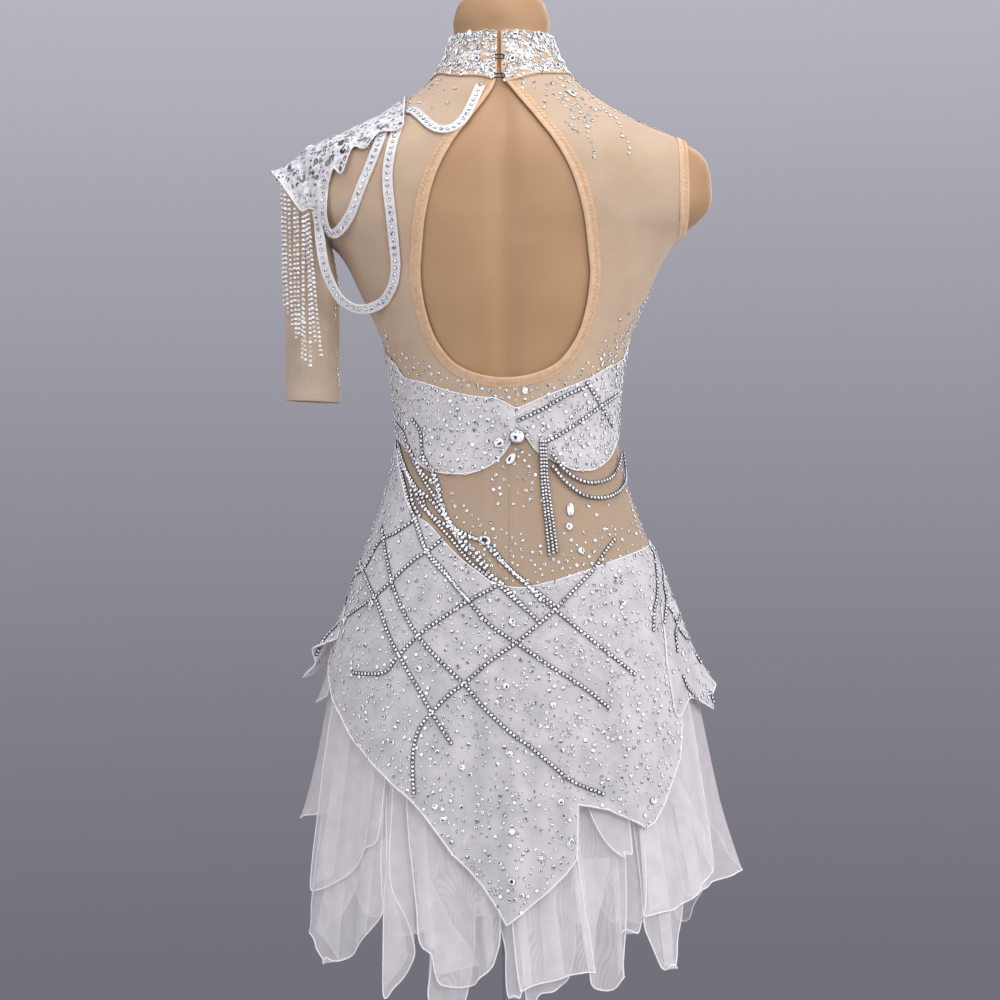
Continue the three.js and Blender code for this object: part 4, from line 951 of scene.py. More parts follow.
def form_reach(centre, ray):
    """Way along a ray out of the form, or 0 where the ray starts outside it."""
    def inside(r):
        point = centre + ray * r[..., None]
        section = section_at(FORM, point[..., 2])
        ahead, power = section[..., 4], section[..., 5]
        depth = np.where(point[..., 1] < ahead, section[..., 2], section[..., 3])
        return (np.abs(point[..., 0]) / section[..., 1]) ** power + (
            np.abs(point[..., 1] - ahead) / depth) ** power < 1
    start = inside(np.zeros(ray.shape[:-1]))
    high = np.zeros(ray.shape[:-1])
    going = start.copy()
    for _ in range(140):
        high = np.where(going, high + 2, high)
        going = going & inside(high)
    low = np.maximum(high - 2, 0)
    for _ in range(9):
        middle = (low + high) / 2
        within = inside(middle)
        low, high = np.where(within, middle, low), np.where(within, high, middle)
    return np.where(start, low, 0)


def arm_point(row, angle, gap, out):
    """Point on a slanted section of the arm: over the top at angle 0, behind at 90, at the armpit at 180."""
    x, z, top_x, top_z, depth = (row[..., k] for k in range(5))
    a = np.radians(angle)
    spoke = np.stack([(top_x - x) * np.cos(a), -depth * np.sin(a), (top_z - z) * np.cos(a)], -1)
    length = np.linalg.norm(spoke, axis=-1)
    ray = unit(spoke)
    centre = np.stack([x, 0 * x, z], -1)
    radius = np.maximum(length, form_reach(centre, ray) + gap) + out
    return centre + ray * radius[..., None]


# Left sleeve from the armhole to the hem: x, z, x over the top, z over the top, half depth
SLEEVE = [
    (-174.6, 1291, -174.6, 1320, 30), (-182, 1284, -191, 1333, 40), (-188.5, 1270, -207, 1319, 54),
    (-192, 1247, -217, 1295, 49), (-193, 1218, -220, 1265, 41), (-193, 1181, -220, 1220, 34),
    (-193, 1135, -220, 1160, 29), (-193.3, 1081.5, -219.7, 1083, 26),
]
SLEEVE_CREASES = [
    (60, 1230, 75, 1090, 9, 1.6), (110, 1240, 95, 1100, 8, -1.5), (140, 1225, 120, 1095, 8, 1.3),
    (40, 1210, 52, 1088, 8, -1.2), (85, 1200, 84, 1084, 6, 1.1), (20, 1180, 24, 1084, 8, 1.2),
    (340, 1190, 336, 1086, 9, -1.3), (300, 1220, 305, 1090, 10, 1.5), (260, 1210, 255, 1090, 10, -1.4),
    (220, 1220, 226, 1092, 9, 1.3), (180, 1190, 182, 1090, 9, -1.0), (70, 1262, 130, 1215, 9, 1.2),
]


def sleeve():
    angles = np.linspace(0, 360, 90, endpoint=False)
    marks = np.linspace(0, len(SLEEVE) - 1, 61)
    at, angle = np.meshgrid(marks, angles, indexing="ij")
    row = rows_at(SLEEVE, at)
    inner, thick = SLEEVE_CLOTH
    flat = arm_point(row, angle, inner, 0)
    free = ease(at, 1.5, 3)
    wave = creased(angle, flat[..., 2], SLEEVE_CREASES) * free
    low = arm_point(row, angle, inner + 0.3, wave)
    high = arm_point(row, angle, inner + 0.3, wave + thick)
    edging = cords("sleeve_hem", [(high[-1], 0.9)], NET, ring=True)
    head = cords("sleeve_head_seam", [(high[0], 0.9)], NET, ring=True)
    net = shell(Batch(), high, low, True)
    made = finish_piece("sleeve_left_mesh", net, [SLEEVE_NET], ["sleeve_left"])
    carry("sleeve", high, True)
    cloth(made, high)
    return high


# White sweetheart band: upper and lower edges as [turn, z]
BAND_TOP_BACK = [
    (-90, 1130), (-72, 1117), (-65, 1102), (-52, 1096), (-33, 1085), (-18, 1080), (-9, 1079), (-1, 1074),
    (6, 1069), (14, 1073), (23, 1079), (34, 1086), (50, 1097), (62, 1108), (77, 1117), (90, 1130),
]
BAND_FOOT_BACK = [
    (-90, 1050), (-75, 1041), (-63, 1028), (-55, 1016), (-47, 1009), (-38, 1006), (-28, 1005), (-19, 1008),
    (-11, 1014), (-4, 1023), (1, 1033), (6, 1046), (12, 1041), (19, 1027), (25, 1021), (36, 1011),
    (43, 1007), (50, 1007), (58, 1012), (67, 1022), (76, 1035), (90, 1050),
]
BAND_TOP_FRONT = [
    (90, 1130), (105, 1150), (125, 1185), (145, 1206), (162, 1196), (180, 1172), (198, 1196), (215, 1206),
    (235, 1185), (255, 1150), (270, 1130),
]
BAND_FOOT_FRONT = [
    (90, 1050), (120, 1044), (150, 1052), (180, 1066), (210, 1052), (240, 1044), (270, 1050),
]
# Turn at which the two back halves of the band meet, and the half gap between them
BAND_MIDDLE = 6
BAND_GAP = 0.08
BAND_CREASES = [
    (-60, 1080, -40, 1050, 1.8, 0.5), (-30, 1072, -24, 1020, 1.6, 0.5), (-8, 1066, 2, 1050, 1.4, 0.5),
    (16, 1064, 34, 1040, 1.6, 0.5), (44, 1080, 52, 1030, 1.8, 0.5), (66, 1098, 74, 1060, 2.0, 0.6),
    (-74, 1098, -66, 1050, 2.0, 0.6),
]


# How far an edge is pressed in, and how far from the edge that reaches
EDGE_PRESS = (1.1, 5.0)


def pressed(gap):
    """How far an edge is pressed back towards the cloth under it, by the distance from the edge."""
    return EDGE_PRESS[0] * np.exp(-((gap / EDGE_PRESS[1]) ** 2))


def band_piece(name, first, last, top, foot, rows, ease_out=0.0):
    turns = np.unique(np.concatenate([np.arange(first, last, 1.0), [last]]))
    share = np.linspace(0, 1, rows + 1)
    v, turn = np.meshgrid(share, turns, indexing="ij")
    z = mix(smooth_at(foot, turn), smooth_at(top, turn), v)
    lift = ease_out + 0.3 * np.sin(np.pi * v) + creased(turn, z, BAND_CREASES)
    lift = lift - (1 + ease_out) * (pressed(z - z[:1]) + pressed(z[-1:] - z))
    inner, thick = WHITE
    low, high = over_form(turn, z, inner + lift), over_form(turn, z, inner + thick + lift)
    edging = cords(name + "_edging", [(high[0], 0.8), (high[-1], 0.8)], HEM)
    made = finish_piece(name + "_cloth", shell(Batch(), low, high), [WHITE_CLOTH], [name])
    carry(name, high)
    cloth(made, high)
    return high


def bands():
    back = (BAND_TOP_BACK, BAND_FOOT_BACK, 22)
    left = band_piece("band_back_left", -89.95, BAND_MIDDLE - BAND_GAP, *back)
    right = band_piece("band_back_right", BAND_MIDDLE + BAND_GAP, 89.95, *back)
    front = band_piece("band_front", 90.05, 269.95, BAND_TOP_FRONT, BAND_FOOT_FRONT, 26, 0.8)
    return left, right, front


# White hip cloth: upper edge and handkerchief hem as [turn, z]
HIP_TOP_BACK = [
    (-90, 1030), (-76, 1023), (-66, 1001), (-58, 979), (-51, 965), (-43, 957), (-34, 941), (-22, 920),
    (-15, 910), (-7, 899), (5, 895), (17, 899), (36, 910), (50, 919), (61, 925), (81, 933), (90, 936),
]
HIP_HEM_BACK = [
    (-90, 843), (-75, 806), (-63, 774), (-56, 750), (-47, 729), (-36, 703), (-29, 684), (-20, 649),
    (-10, 618), (-5, 597), (-2.5, 583), (5, 600), (11, 614), (16, 627), (20, 642), (22, 692), (26, 690),
    (32, 686), (38, 676), (42, 668), (45, 672), (50, 691), (54, 708), (58, 730), (61, 757), (65, 795),
    (69, 845), (90, 850),
]
HIP_TOP_FRONT = [
    (90, 936), (120, 918), (150, 898), (180, 895), (205, 915), (235, 965), (255, 1010), (270, 1030),
]
HIP_HEM_FRONT = [
    (90, 850), (102, 836), (113, 775), (124, 700), (132, 645), (140, 668), (150, 715), (162, 742),
    (178, 700), (192, 648), (204, 612), (214, 650), (226, 712), (240, 768), (252, 824), (262, 842),
    (270, 843),
]
HIP_CREASES = [
    (-60, 900, -40, 820, 3.0, 1.0), (-36, 880, -22, 780, 3.2, 1.0), (-10, 840, -6, 700, 3.6, 1.2),
    (14, 860, 12, 720, 3.4, 1.1), (34, 880, 40, 740, 3.4, 1.1), (52, 900, 58, 790, 2.8, 1.0),
    (24, 760, 34, 700, 2.8, 1.0), (-24, 760, -12, 660, 2.6, 1.0), (44, 760, 46, 690, 2.4, 0.9),
    (-50, 800, -38, 730, 2.4, 0.9), (130, 860, 134, 700, 3.6, 1.2), (200, 860, 206, 680, 3.6, 1.2),
    (165, 860, 160, 760, 3.4, 1.0), (235, 900, 228, 780, 3.0, 1.0),
]


def hip_piece(name, first, last, top, hem):
    marks = [turn for turn, _ in hem if first < turn < last]
    turns = np.unique(np.concatenate([np.arange(first, last, 1.25), marks, [last]]))
    v, turn = np.meshgrid(np.linspace(0, 1, 51), turns, indexing="ij")
    z = mix(straight_at(hem, turn), smooth_at(top, turn), v)
    _, thick = WHITE
    lift = creased(turn, z, HIP_CREASES) - pressed(z[-1:] - z)
    low, high = on_drape(turn, z, lift), on_drape(turn, z, thick + lift)
    edging = cords(name + "_edging", [(high[0], 0.9), (high[-1], 0.8)], HEM)
    made = finish_piece(name + "_cloth", shell(Batch(), low, high), [SHADED_HIP_CLOTH], [name])
    carry(name, high)
    cloth(made, high)
    return high


def hips():
    back = hip_piece("hip_back", -89.95, 89.95, HIP_TOP_BACK, HIP_HEM_BACK)
    front = hip_piece("hip_front", 90.05, 269.95, HIP_TOP_FRONT, HIP_HEM_FRONT)
    return back, front


# Chiffon petals: name, layer counted inward from the hip cloth (outward where negative), the two turns
# of the upper edge, and the points of the side edges and hem as (turn, z, flare)
PETALS = [
    ("petal_back_1", 1, (-70, -43),
     [(-71, 640), (-69.5, 607), (-65, 606), (-58.6, 616), (-54.2, 627), (-51, 641), (-49, 650), (-45, 656),
      (-44, 672)]),
    ("petal_back_2", 2, (-69, -42.5),
     [(-73, 625), (-73.5, 585), (-71.5, 568), (-66.8, 560), (-65, 546), (-60.5, 528), (-57.2, 539),
      (-52.8, 550),
      (-46.2, 573), (-41.7, 592), (-42.8, 613), (-44.6, 650), (-44.9, 690), (-43.6, 760)]),
    ("petal_back_3", 2, (-43, -40.2),
     [(-43.6, 760), (-43.9, 688), (-42.2, 650), (-41.2, 594), (-40.3, 552), (-39.4, 513), (-37.1, 522),
      (-34.6, 532),
      (-32.6, 542), (-31.1, 554), (-31.9, 567), (-34.7, 586), (-38.2, 606), (-40.2, 626), (-41.4, 660),
      (-42, 740)]),
    ("petal_back_4", 3, (-41, -22), [(-41, 640), (-40.4, 579), (-38.9, 571), (-34.5, 571), (-30.9, 577),
                                     (-24, 570)]),
    ("petal_back_5", 1, (-36, -5),
     [(-36, 690), (-34.5, 656), (-32.3, 623), (-30.3, 596), (-29.2, 573), (-27.8, 562), (-25.4, 555),
      (-24.4, 541),
      (-23, 529), (-20.4, 526), (-17.2, 524), (-14, 525.5), (-9.8, 530), (-7.4, 542), (-5.7, 557),
      (-4.8, 569),
      (-4.5, 600)]),
    ("petal_back_6", 2, (-27, -10),
     [(-26.5, 580), (-26.2, 541), (-26.7, 521), (-26, 509), (-23.1, 503), (-19.5, 504), (-16.7, 509),
      (-15.5, 522),
      (-14, 550)]),
    ("petal_back_7", 2, (-8, 5),
     [(-7, 620), (-4.4, 579), (-3, 558), (-3, 541), (-2.7, 522), (-1.4, 511), (0.1, 509), (1.4, 516),
      (3, 545)]),
    ("petal_back_8", 1, (-3, 21),
     [(-2, 620), (-0.6, 580), (0.4, 545), (1.4, 524), (1.6, 522.5), (4.3, 526), (8.9, 529), (13.5, 532),
      (17.1, 535.5),
      (21.4, 537), (25, 535), (25.2, 536), (24.4, 555), (23.7, 569), (22.4, 595), (21, 640)]),
    ("petal_back_9", 3, (2, 20),
     [(2, 560), (3.1, 520), (3.8, 508), (5.6, 508), (7.4, 516), (8.9, 518), (12.3, 519), (14.7, 524),
      (17.4, 532),
      (20, 560)]),
    ("petal_back_10", 2, (18, 36.5),
     [(20, 640), (22.6, 570), (23.6, 540), (24.4, 523), (28.6, 517), (32, 519), (34.4, 525), (34, 535),
      (34.7, 556),
      (35.8, 585), (37, 640)]),
    ("petal_back_11", 1, (24, 38.5),
     [(25.8, 700), (27.2, 682), (28.8, 670), (31, 657), (33.3, 648), (35.7, 641), (37.4, 633), (38.1, 655),
      (38.3, 700)]),
    ("petal_back_12", 3, (33, 45),
     [(33, 640), (34.9, 595), (35.4, 566), (36.4, 560), (38.2, 564), (39.3, 571), (40.8, 592), (43, 640)]),
    ("petal_back_13", 1, (42.5, 68),
     [(42.2, 690), (41.6, 647), (40.9, 622), (39.9, 599), (39.3, 586), (40.9, 586.5), (46, 588),
      (51.1, 589.5),
      (55.9, 594), (59.9, 601), (65, 609), (70, 613), (73, 618), (73.5, 660)]),
    ("petal_back_14", 2, (41, 57),
     [(40.4, 620), (40, 578), (40.8, 566), (43, 548), (44.5, 535), (45.6, 526), (47.2, 526), (49, 535),
      (51.5, 544),
      (52.8, 558), (55, 580), (57, 620)]),
    ("petal_side_right", 2, (58, 100),
     [(55, 640), (57, 600), (66, 600), (74, 604, 2), (82, 608, 12), (89.5, 609, 20), (91, 614, 19),
      (97, 636, 10),
      (104, 665)]),
    ("petal_side_left", 3, (-102, -64),
     [(-104, 694), (-97, 676, 9), (-91, 667, 19), (-88, 666, 18), (-82, 671, 14), (-75, 675, 3), (-66, 684)]),
    ("petal_front_1", 1, (104, 132), [(104, 650), (106, 600), (113, 560), (120, 540), (127, 565),
                                      (132, 605)]),
    ("petal_front_2", 2, (122, 150), [(122, 640), (123, 590), (131, 540), (139, 528), (147, 560),
                                      (152, 600)]),
    ("petal_front_3", 1, (138, 168), [(139, 640), (140, 600), (148, 548), (155, 532), (162, 556),
                                      (168, 598)]),
    ("petal_front_4", 2, (158, 192), [(158, 640), (159, 585), (167, 536), (175, 522), (184, 540),
                                      (192, 600)]),
    ("petal_front_5", 1, (176, 206), [(176, 640), (177, 596), (184, 552), (192, 534), (199, 560),
                                      (205, 610)]),
    ("petal_front_6", 2, (200, 232), [(200, 640), (201, 590), (209, 540), (218, 526), (226, 556),
                                      (232, 604)]),
    ("petal_front_7", 1, (213, 242), [(212, 640), (213, 604), (220, 560), (228, 540), (236, 566),
                                      (242, 616)]),
    ("petal_front_8", 2, (238, 258), [(237, 640), (238, 600), (242, 562), (247, 552), (251, 600)]),
    ("flap_left", -1, (-108, -80),
     [(-112, 846), (-103, 824, 4), (-95, 810, 12), (-89, 806, 20), (-87, 810, 18), (-85.5, 820, 11),
      (-84.5, 830, 16), (-83, 836, 18), (-81, 840, 10), (-77, 846)]),
    ("flap_left_under", 1, (-102, -76),
     [(-104, 806), (-97, 792, 4), (-91, 781, 8), (-84, 784, 4), (-77, 790)]),
    ("flap_right", -1, (66, 108),
     [(60, 820), (59, 776), (61, 769), (67, 783), (72, 784), (77, 777, 3), (82, 771, 6), (85.5, 771, 6),
      (87.5, 781, 7), (89, 790, 13), (91, 794, 15), (95, 803, 11), (103, 826, 5), (112, 850)]),
]
# Cloth folded over itself on a petal: two lines as (turn, z, turn, z) with doubled cloth between them
FOLDED = {
    "petal_back_1": [((-62, 800, -66, 612), (-58, 800, -60, 620)),
                     ((-52, 790, -53, 635), (-47, 780, -48, 655))],
    "petal_back_2": [((-63, 640, -66, 566), (-57, 640, -58, 542)),
                     ((-52, 640, -52, 553), (-46, 660, -47, 573))],
    "petal_back_3": [((-42.5, 650, -39.2, 520), (-41.6, 640, -33.2, 552))],
    "petal_back_5": [((-35, 680, -26.5, 560), (-30, 700, -24, 560)),
                     ((-29, 640, -23.5, 536), (-19, 580, -11, 545)),
                     ((-12, 640, -9, 540), (-8, 640, -6.5, 556))],
    "petal_back_8": [((0, 600, 2.6, 527), (3, 620, 5, 529)), ((7.5, 640, 9, 531), (12.5, 640, 15, 535)),
                     ((18, 640, 22, 540), (20, 640, 24.4, 538))],
    "petal_back_10": [((22, 640, 25, 525), (33, 640, 25.6, 560)),
                      ((33.5, 640, 32.5, 530), (35, 640, 34, 538))],
    "petal_back_13": [((42.6, 680, 40.4, 590), (47, 700, 47.5, 592)),
                      ((47, 720, 70, 615), (52, 735, 72, 640)),
                      ((55, 690, 57, 598), (60, 690, 63, 608))],
    "petal_back_14": [((45, 620, 45.2, 536), (50, 620, 48, 538))],
    "petal_side_right": [((62, 760, 62, 606), (67, 760, 69, 608))],
    "petal_front_2": [((130, 700, 132, 548), (135, 700, 137, 538))],
    "petal_front_4": [((168, 700, 171, 538), (174, 700, 177, 532))],
    "petal_front_5": [((186, 700, 188, 548), (191, 700, 194, 545))],
    "petal_front_7": [((222, 700, 224, 556), (227, 700, 230, 550))],
}
# Rolled-up tips: turn and height where the roll starts, and the way it rolls as (across, up)
CURLS = {
    "petal_back_2": [(-60.5, 541, 0.25, -1)], "petal_back_5": [(-10.6, 537, 0.8, -0.8)],
    "petal_back_10": [(32.2, 527, 0.9, -0.7)], "petal_back_11": [(36.4, 645, 0.5, -1)],
    "petal_back_12": [(37, 572, 0.1, -1)], "petal_back_14": [(46.3, 537, 0, -1)],
    "petal_back_7": [(-0.5, 519, 0, -1)], "petal_front_2": [(138, 538, 0, -1)], "petal_front_5": [(192, 543, 0, -1)],
    "petal_front_7": [(228, 549, 0, -1)],
}
CURL_RADIUS, CURL_REACH = 3.2, 26
SHEER_FLAPS = ("flap_left",)
MOIRE = ("petal_back_5", "petal_back_8", "petal_back_10", "petal_front_4")
# Pitch of the layers at the hips and below them, and the heights between which it widens
PETAL_PITCH = (1.45, 4.9)
PETAL_SPREAD = (855, 680)
# Depth of a petal's own waves, steps along its hem, rows down it, and the skirt's radius near its hem
SOFT_WAVE = 1.7
HEM_STEP = 2.8
PETAL_ROWS = 43
DRAPE_RADIUS = 205


def layer_out(layer, z):
    """Middle of a layer under, or over, the hip cloth at height z."""
    if layer < 0:
        return 1.2 + 0.5 + 0.5 + 0 * z
    spread = np.clip((PETAL_SPREAD[0] - z) / (PETAL_SPREAD[0] - PETAL_SPREAD[1]), 0, 1)
    return -layer * mix(*PETAL_PITCH, spread) + 0.45


def curled(points, turn, z, across, up, out):
    """Rolls the cloth past a line outward round a small cylinder."""
    centre = on_drape(turn, z, out)
    east = unit(on_drape(turn + 1, z, out) - centre)
    away = unit(np.cross(east, np.array([0.0, 0, 1])))
    way = unit(across * east + up * np.array([0.0, 0, 1]))
    past = (points - centre) @ way
    near = (np.linalg.norm(points - centre, axis=-1) < CURL_REACH) & (past > 0)
    angle = past / CURL_RADIUS
    moved = (points - past[..., None] * way + (CURL_RADIUS * np.sin(angle))[..., None] * way
             + (CURL_RADIUS * (1 - np.cos(angle)))[..., None] * away)
    return np.where(near[..., None], moved, points)


def petal(name, layer, top, hem, rng):
    """Petal or flap that falls from its upper edge to its hem, as a sheer skin or a thin shell."""
    hem = np.array([(row[0], row[1], row[2] if len(row) > 2 else 0) for row in hem], float)
    line = smooth_path(hem, 10)
    scale = np.array([math.radians(1) * DRAPE_RADIUS, 1, 0])
    way = measured(line * scale)
    marks = np.linspace(0, way[-1], int(way[-1] / HEM_STEP) + 1)
    foot = np.stack([np.interp(marks, way, line[:, k]) for k in range(3)], 1)
    spread = np.concatenate([[0], np.cumsum(np.abs(np.diff(foot[:, 0])) + 0.004)])
    share = spread / spread[-1]
    v = 1 - (1 - np.linspace(0, 1, PETAL_ROWS)[:, None]) ** 1.6
    crest = PETAL_TOP + 16 if layer < 0 else PETAL_TOP
    turn = mix(mix(top[0], top[1], share)[None], foot[None, :, 0], v)
    z = mix(crest, foot[None, :, 1], v)
    flare = foot[None, :, 2] * v**3
    phase, other = rng.uniform(0, 2 * np.pi, 2)

    def place(turn, z, flare=0.0, rise=0.0):
        low = np.clip((PETAL_TOP - z) / 320, 0, 1) ** 1.5
        around = np.radians(turn)
        soft = SOFT_WAVE * low * (0.6 * np.sin(around * 23 + phase) + 0.4 * np.sin(around * 41 + other))
        return on_drape(turn, z, layer_out(layer, z) + flare + rise + soft * (layer > 0))
    middle = place(turn, z, flare)
    curls = CURLS.get(name, ())
    for t, h, across, up in curls:
        middle = curled(middle, t, h, across, up, layer_out(layer, float(h)))
    border = np.concatenate([middle[2:, 0][:-1], middle[-1], middle[2:, -1][::-1][1:]])
    edging = cords(name + "_hem", [(border, 0.68 if layer > 0 else 0.8)], ROLLED, sides=5)
    ids = ids_of(len(foot), len(v))
    doubled = []
    if layer > 0:
        batch = Batch().add(middle, [cells(ids, True)])
        for first, second in FOLDED.get(name, ()):
            a, b = np.array(first, float), np.array(second, float)
            down, over = np.meshgrid(np.linspace(0, 1, 41), np.linspace(0, 1, 9), indexing="ij")
            t = mix(mix(a[0], a[2], down), mix(b[0], b[2], down), over)
            h = mix(mix(a[1], a[3], down), mix(b[1], b[3], down), over)
            doubled.append(place(t, h, 0, 0.55 + 0.3 * np.sin(np.pi * over)))
            batch.add(doubled[-1], [cells(ids_of(9, 41), True)], 1)
        cloth_look = CHIFFON_MOIRE if name in MOIRE else CHIFFON
    else:
        outer = place(turn, z, flare, 0.45)
        batch = shell(Batch(), outer[::-1], middle[::-1])
        carry(name, outer)
        cloth_look = CHIFFON if name in SHEER_FLAPS else SHADED_HIP_CLOTH
    looks = [cloth_look, CHIFFON_DOUBLE] if doubled else [cloth_look]
    made = finish_piece(name + "_cloth", batch, looks, [name])
    doubled_width = sum(area_of(more) / (len(more) * 2.5) for more in doubled)
    cut_width = math.radians(np.ptp(turn)) * DRAPE_RADIUS + doubled_width
    cloth(made, middle, cut_width)
    return middle if layer > 0 else outer


# Beaded shoulder cap: x, z, x and z over the top, half depth, spread in degrees, clearance, gap to the form
CAP = [
    (-97, 1305, -97, 1320, 15, 60, 0, 6.8), (-115, 1300, -115, 1320, 20, 64, 0, 6.8),
    (-131, 1296, -131, 1320, 20, 70, 0, 6.8), (-145, 1294, -145, 1320, 20, 76, 0, 6.8),
    (-157, 1292, -157, 1320, 20, 82, 0, 6.8), (-167, 1291, -167, 1320, 20, 88, 0, 6.8),
    (-174.6, 1291, -174.6, 1320, 30, 90, 0, 6.8), (-182, 1284, -191, 1333, 40, 96, 3.6, 2.7),
    (-188.5, 1270, -207, 1319, 54, 91, 3.4, 2.7), (-195, 1258, -222, 1313, 52, 82, 0, 6.8),
    (-203, 1262, -231, 1311, 50, 24, 0, 6.8),
]


# Waves of the cap's edge: share of its spread, and radians per row of the cap
CAP_EDGE = (0.05, 3.4)


def cap_point(at, across, out):
    row = rows_at(CAP, at)
    spread = row[..., 5] * (1 + CAP_EDGE[0] * np.sin(at * CAP_EDGE[1] + 0.6))
    return arm_point(row[..., :5], across * spread, row[..., 7], row[..., 6] + out)


def shoulder_cap():
    marks, sides = np.linspace(0, len(CAP) - 1, 76), np.linspace(-1, 1, 46)
    at, across = np.meshgrid(marks, sides, indexing="ij")
    _, thick = CAP_CLOTH
    wave = 0.9 * np.sin(at * 3.4 + 2) * across**4 + 0.5 * np.sin(at * 2.2 + across * 5)
    low, high = cap_point(at, across, wave), cap_point(at, across, wave + thick)
    border = np.concatenate([high[:, -1], high[-1][::-1][1:], high[:, 0][::-1][1:], high[0][1:-1]])
    edging = cords("shoulder_cap_edging", [(border, 0.8)], HEM, ring=True)
    lace = shell(Batch(), high, low)
    made = finish_piece("shoulder_cap_cloth", lace, [CAP_LACE], ["shoulder_cap"])
    carry("cap", high)
    cloth(made, high)
    return high


# Strands of the fringe: row of the cap at whose back edge it hangs, and x and z of the strand's end
STRANDS = [
    (9.66, -218, 1175), (9.54, -214, 1167), (9.44, -209.5, 1155), (9.26, -205.7, 1142), (9.16, -202.5, 1146),
    (8.86, -200, 1122), (8.76, -196.8, 1120), (8.66, -191.7, 1114), (8.5, -186.5, 1138), (8.36, -181, 1124),
]
BEAD_PITCH = 4.5
BEAD = facets([(0.35, -0.94), (0.82, -0.57), (1, 0), (0.82, 0.57), (0.35, 0.94)], 8)


def fringe(rng):
    batch = Batch()
    for at, x, foot in STRANDS:
        root = cap_point(np.array(at), np.array(1.0), 0.6) - np.array([0, 0, 1.6])
        end = np.array([x, root[1] - 1.5, foot])
        bow = np.array([rng.uniform(-1.5, 1.5), rng.uniform(-0.8, 0.4), 0])
        t = np.linspace(0, 1, 24)[:, None]
        line = mix(root, end, t) + bow * np.sin(np.pi * t)
        tube(batch, line, 0.45, 4, 2)
        spots = resampled(line, BEAD_PITCH)[1:]
        sizes = rng.choice([1.5, 1.7, 1.9], len(spots))
        up = np.tile([0.0, 0, 1], (len(spots), 1))
        pearly = rng.uniform(size=len(spots)) < 0.2
        for chosen, mark, kind in ((pearly, 1, "metal"), (~pearly, 0, "bright")):
            if chosen.any():
                copies(batch, BEAD, spots[chosen], up[chosen], sizes[chosen], rng, mark, kind)
    finish_piece("fringe_strands", batch, [CRYSTAL, PEARL, NET], ["shoulder_fringe"], smooth=35)


# Stone-set straps: centre lines as [x, z, rise over the back]
STRAP_PATHS = {
    "strap_collar": [
        (-21, 1383, 0), (-30, 1362, 0), (-36, 1350, 0), (-44, 1341, 0), (-54, 1337, 0), (-63, 1338, 0),
        (-71, 1343, 0), (-79, 1352, 0), (-86, 1359, 0), (-93, 1360, 0),
    ],
    "strap_inner": [
        (-114, 1341, 0), (-121, 1322, 0), (-127, 1307, 0), (-134, 1291, 0), (-141, 1274, 0), (-147, 1261, 0),
        (-154, 1252, 3), (-161, 1249, 6), (-167, 1252, 6), (-171, 1260, 5), (-172.5, 1270, 3),
        (-172.5, 1281, 1),
        (-172.5, 1291, -0.4), (-172.5, 1299, -0.6),
    ],
    "strap_outer": [
        (-100, 1345, 0), (-107, 1322, 0), (-111, 1300, 0), (-111, 1281, 0), (-109, 1263, 0), (-107, 1244, 0),
        (-105, 1225, 0), (-104, 1208, 0), (-106, 1194, 0), (-111, 1183, 0.4),
    ],
}
STRAP_LOOP = [
    (-120, -62, 1175), (-131, -58, 1170), (-142, -56, 1169), (-152, -57, 1172), (-162, -59, 1180),
    (-169, -60, 1192), (-175, -61, 1207), (-178, -62, 1222), (-180, -62, 1238), (-182, -61, 1253),
    (-184, -59, 1266),
]
# The strap's free loop faces nearly straight back: x and z where it starts, and sideways share that is kept
LOOP_START = (-118, 1240, 0.2)
# Section of a strap as (across, out), with a rolled rim at both sides
STRAP_SECTION = [(-5, 0), (-5, 1.2), (-4.5, 1.7), (-3.9, 1.2), (3.9, 1.2), (4.5, 1.7), (5, 1.2), (5, 0)]
STRAP_STONE = 2.3
STRAP_PITCH = 6.6


def strap(name, stones, rng):
    x, z, rise = np.array(STRAP_PATHS[name], float).T
    line = over_form(-turn_at_x(x, z, False), z, STRAP[0] + rise)
    if name == "strap_outer":
        line = np.concatenate([line, np.array(STRAP_LOOP, float)])
    turn = np.degrees(np.arctan2(line[:, 0], -line[:, 1]))
    facing = form_normal(turn, line[:, 2])
    loop = (line[:, 0] < LOOP_START[0]) & (line[:, 2] < LOOP_START[1])
    facing[loop, 0] *= LOOP_START[2]
    facing = unit(facing)
    line, facing = smooth_path(line, 8), unit(smooth_path(facing, 8))
    across = unit(np.cross(np.gradient(line, axis=0), facing))
    facing = unit(np.cross(across, np.gradient(line, axis=0)))
    section = np.array(STRAP_SECTION)
    points = (line[:, None] + section[:, 0, None] * across[:, None] + section[:, 1, None] * facing[:, None])
    ids = ids_of(len(section), len(line))
    ids = np.concatenate([ids, ids[:, :1]], 1)
    batch = Batch().add(points, [cells(ids), ids[:1, :-1][:, ::-1], ids[-1:, :-1]])
    made = finish_piece(name + "_ribbon", batch, [SATIN], [name], smooth=30)
    flat = np.stack([line - across * 5, line + across * 5])
    cloth(made, flat)
    path = resampled(np.concatenate([line + facing * 1.2, facing], 1), STRAP_PITCH)[:-1]
    copies(stones, STONE, path[:, :3], unit(path[:, 3:]), STRAP_STONE, rng, 0, "stone")


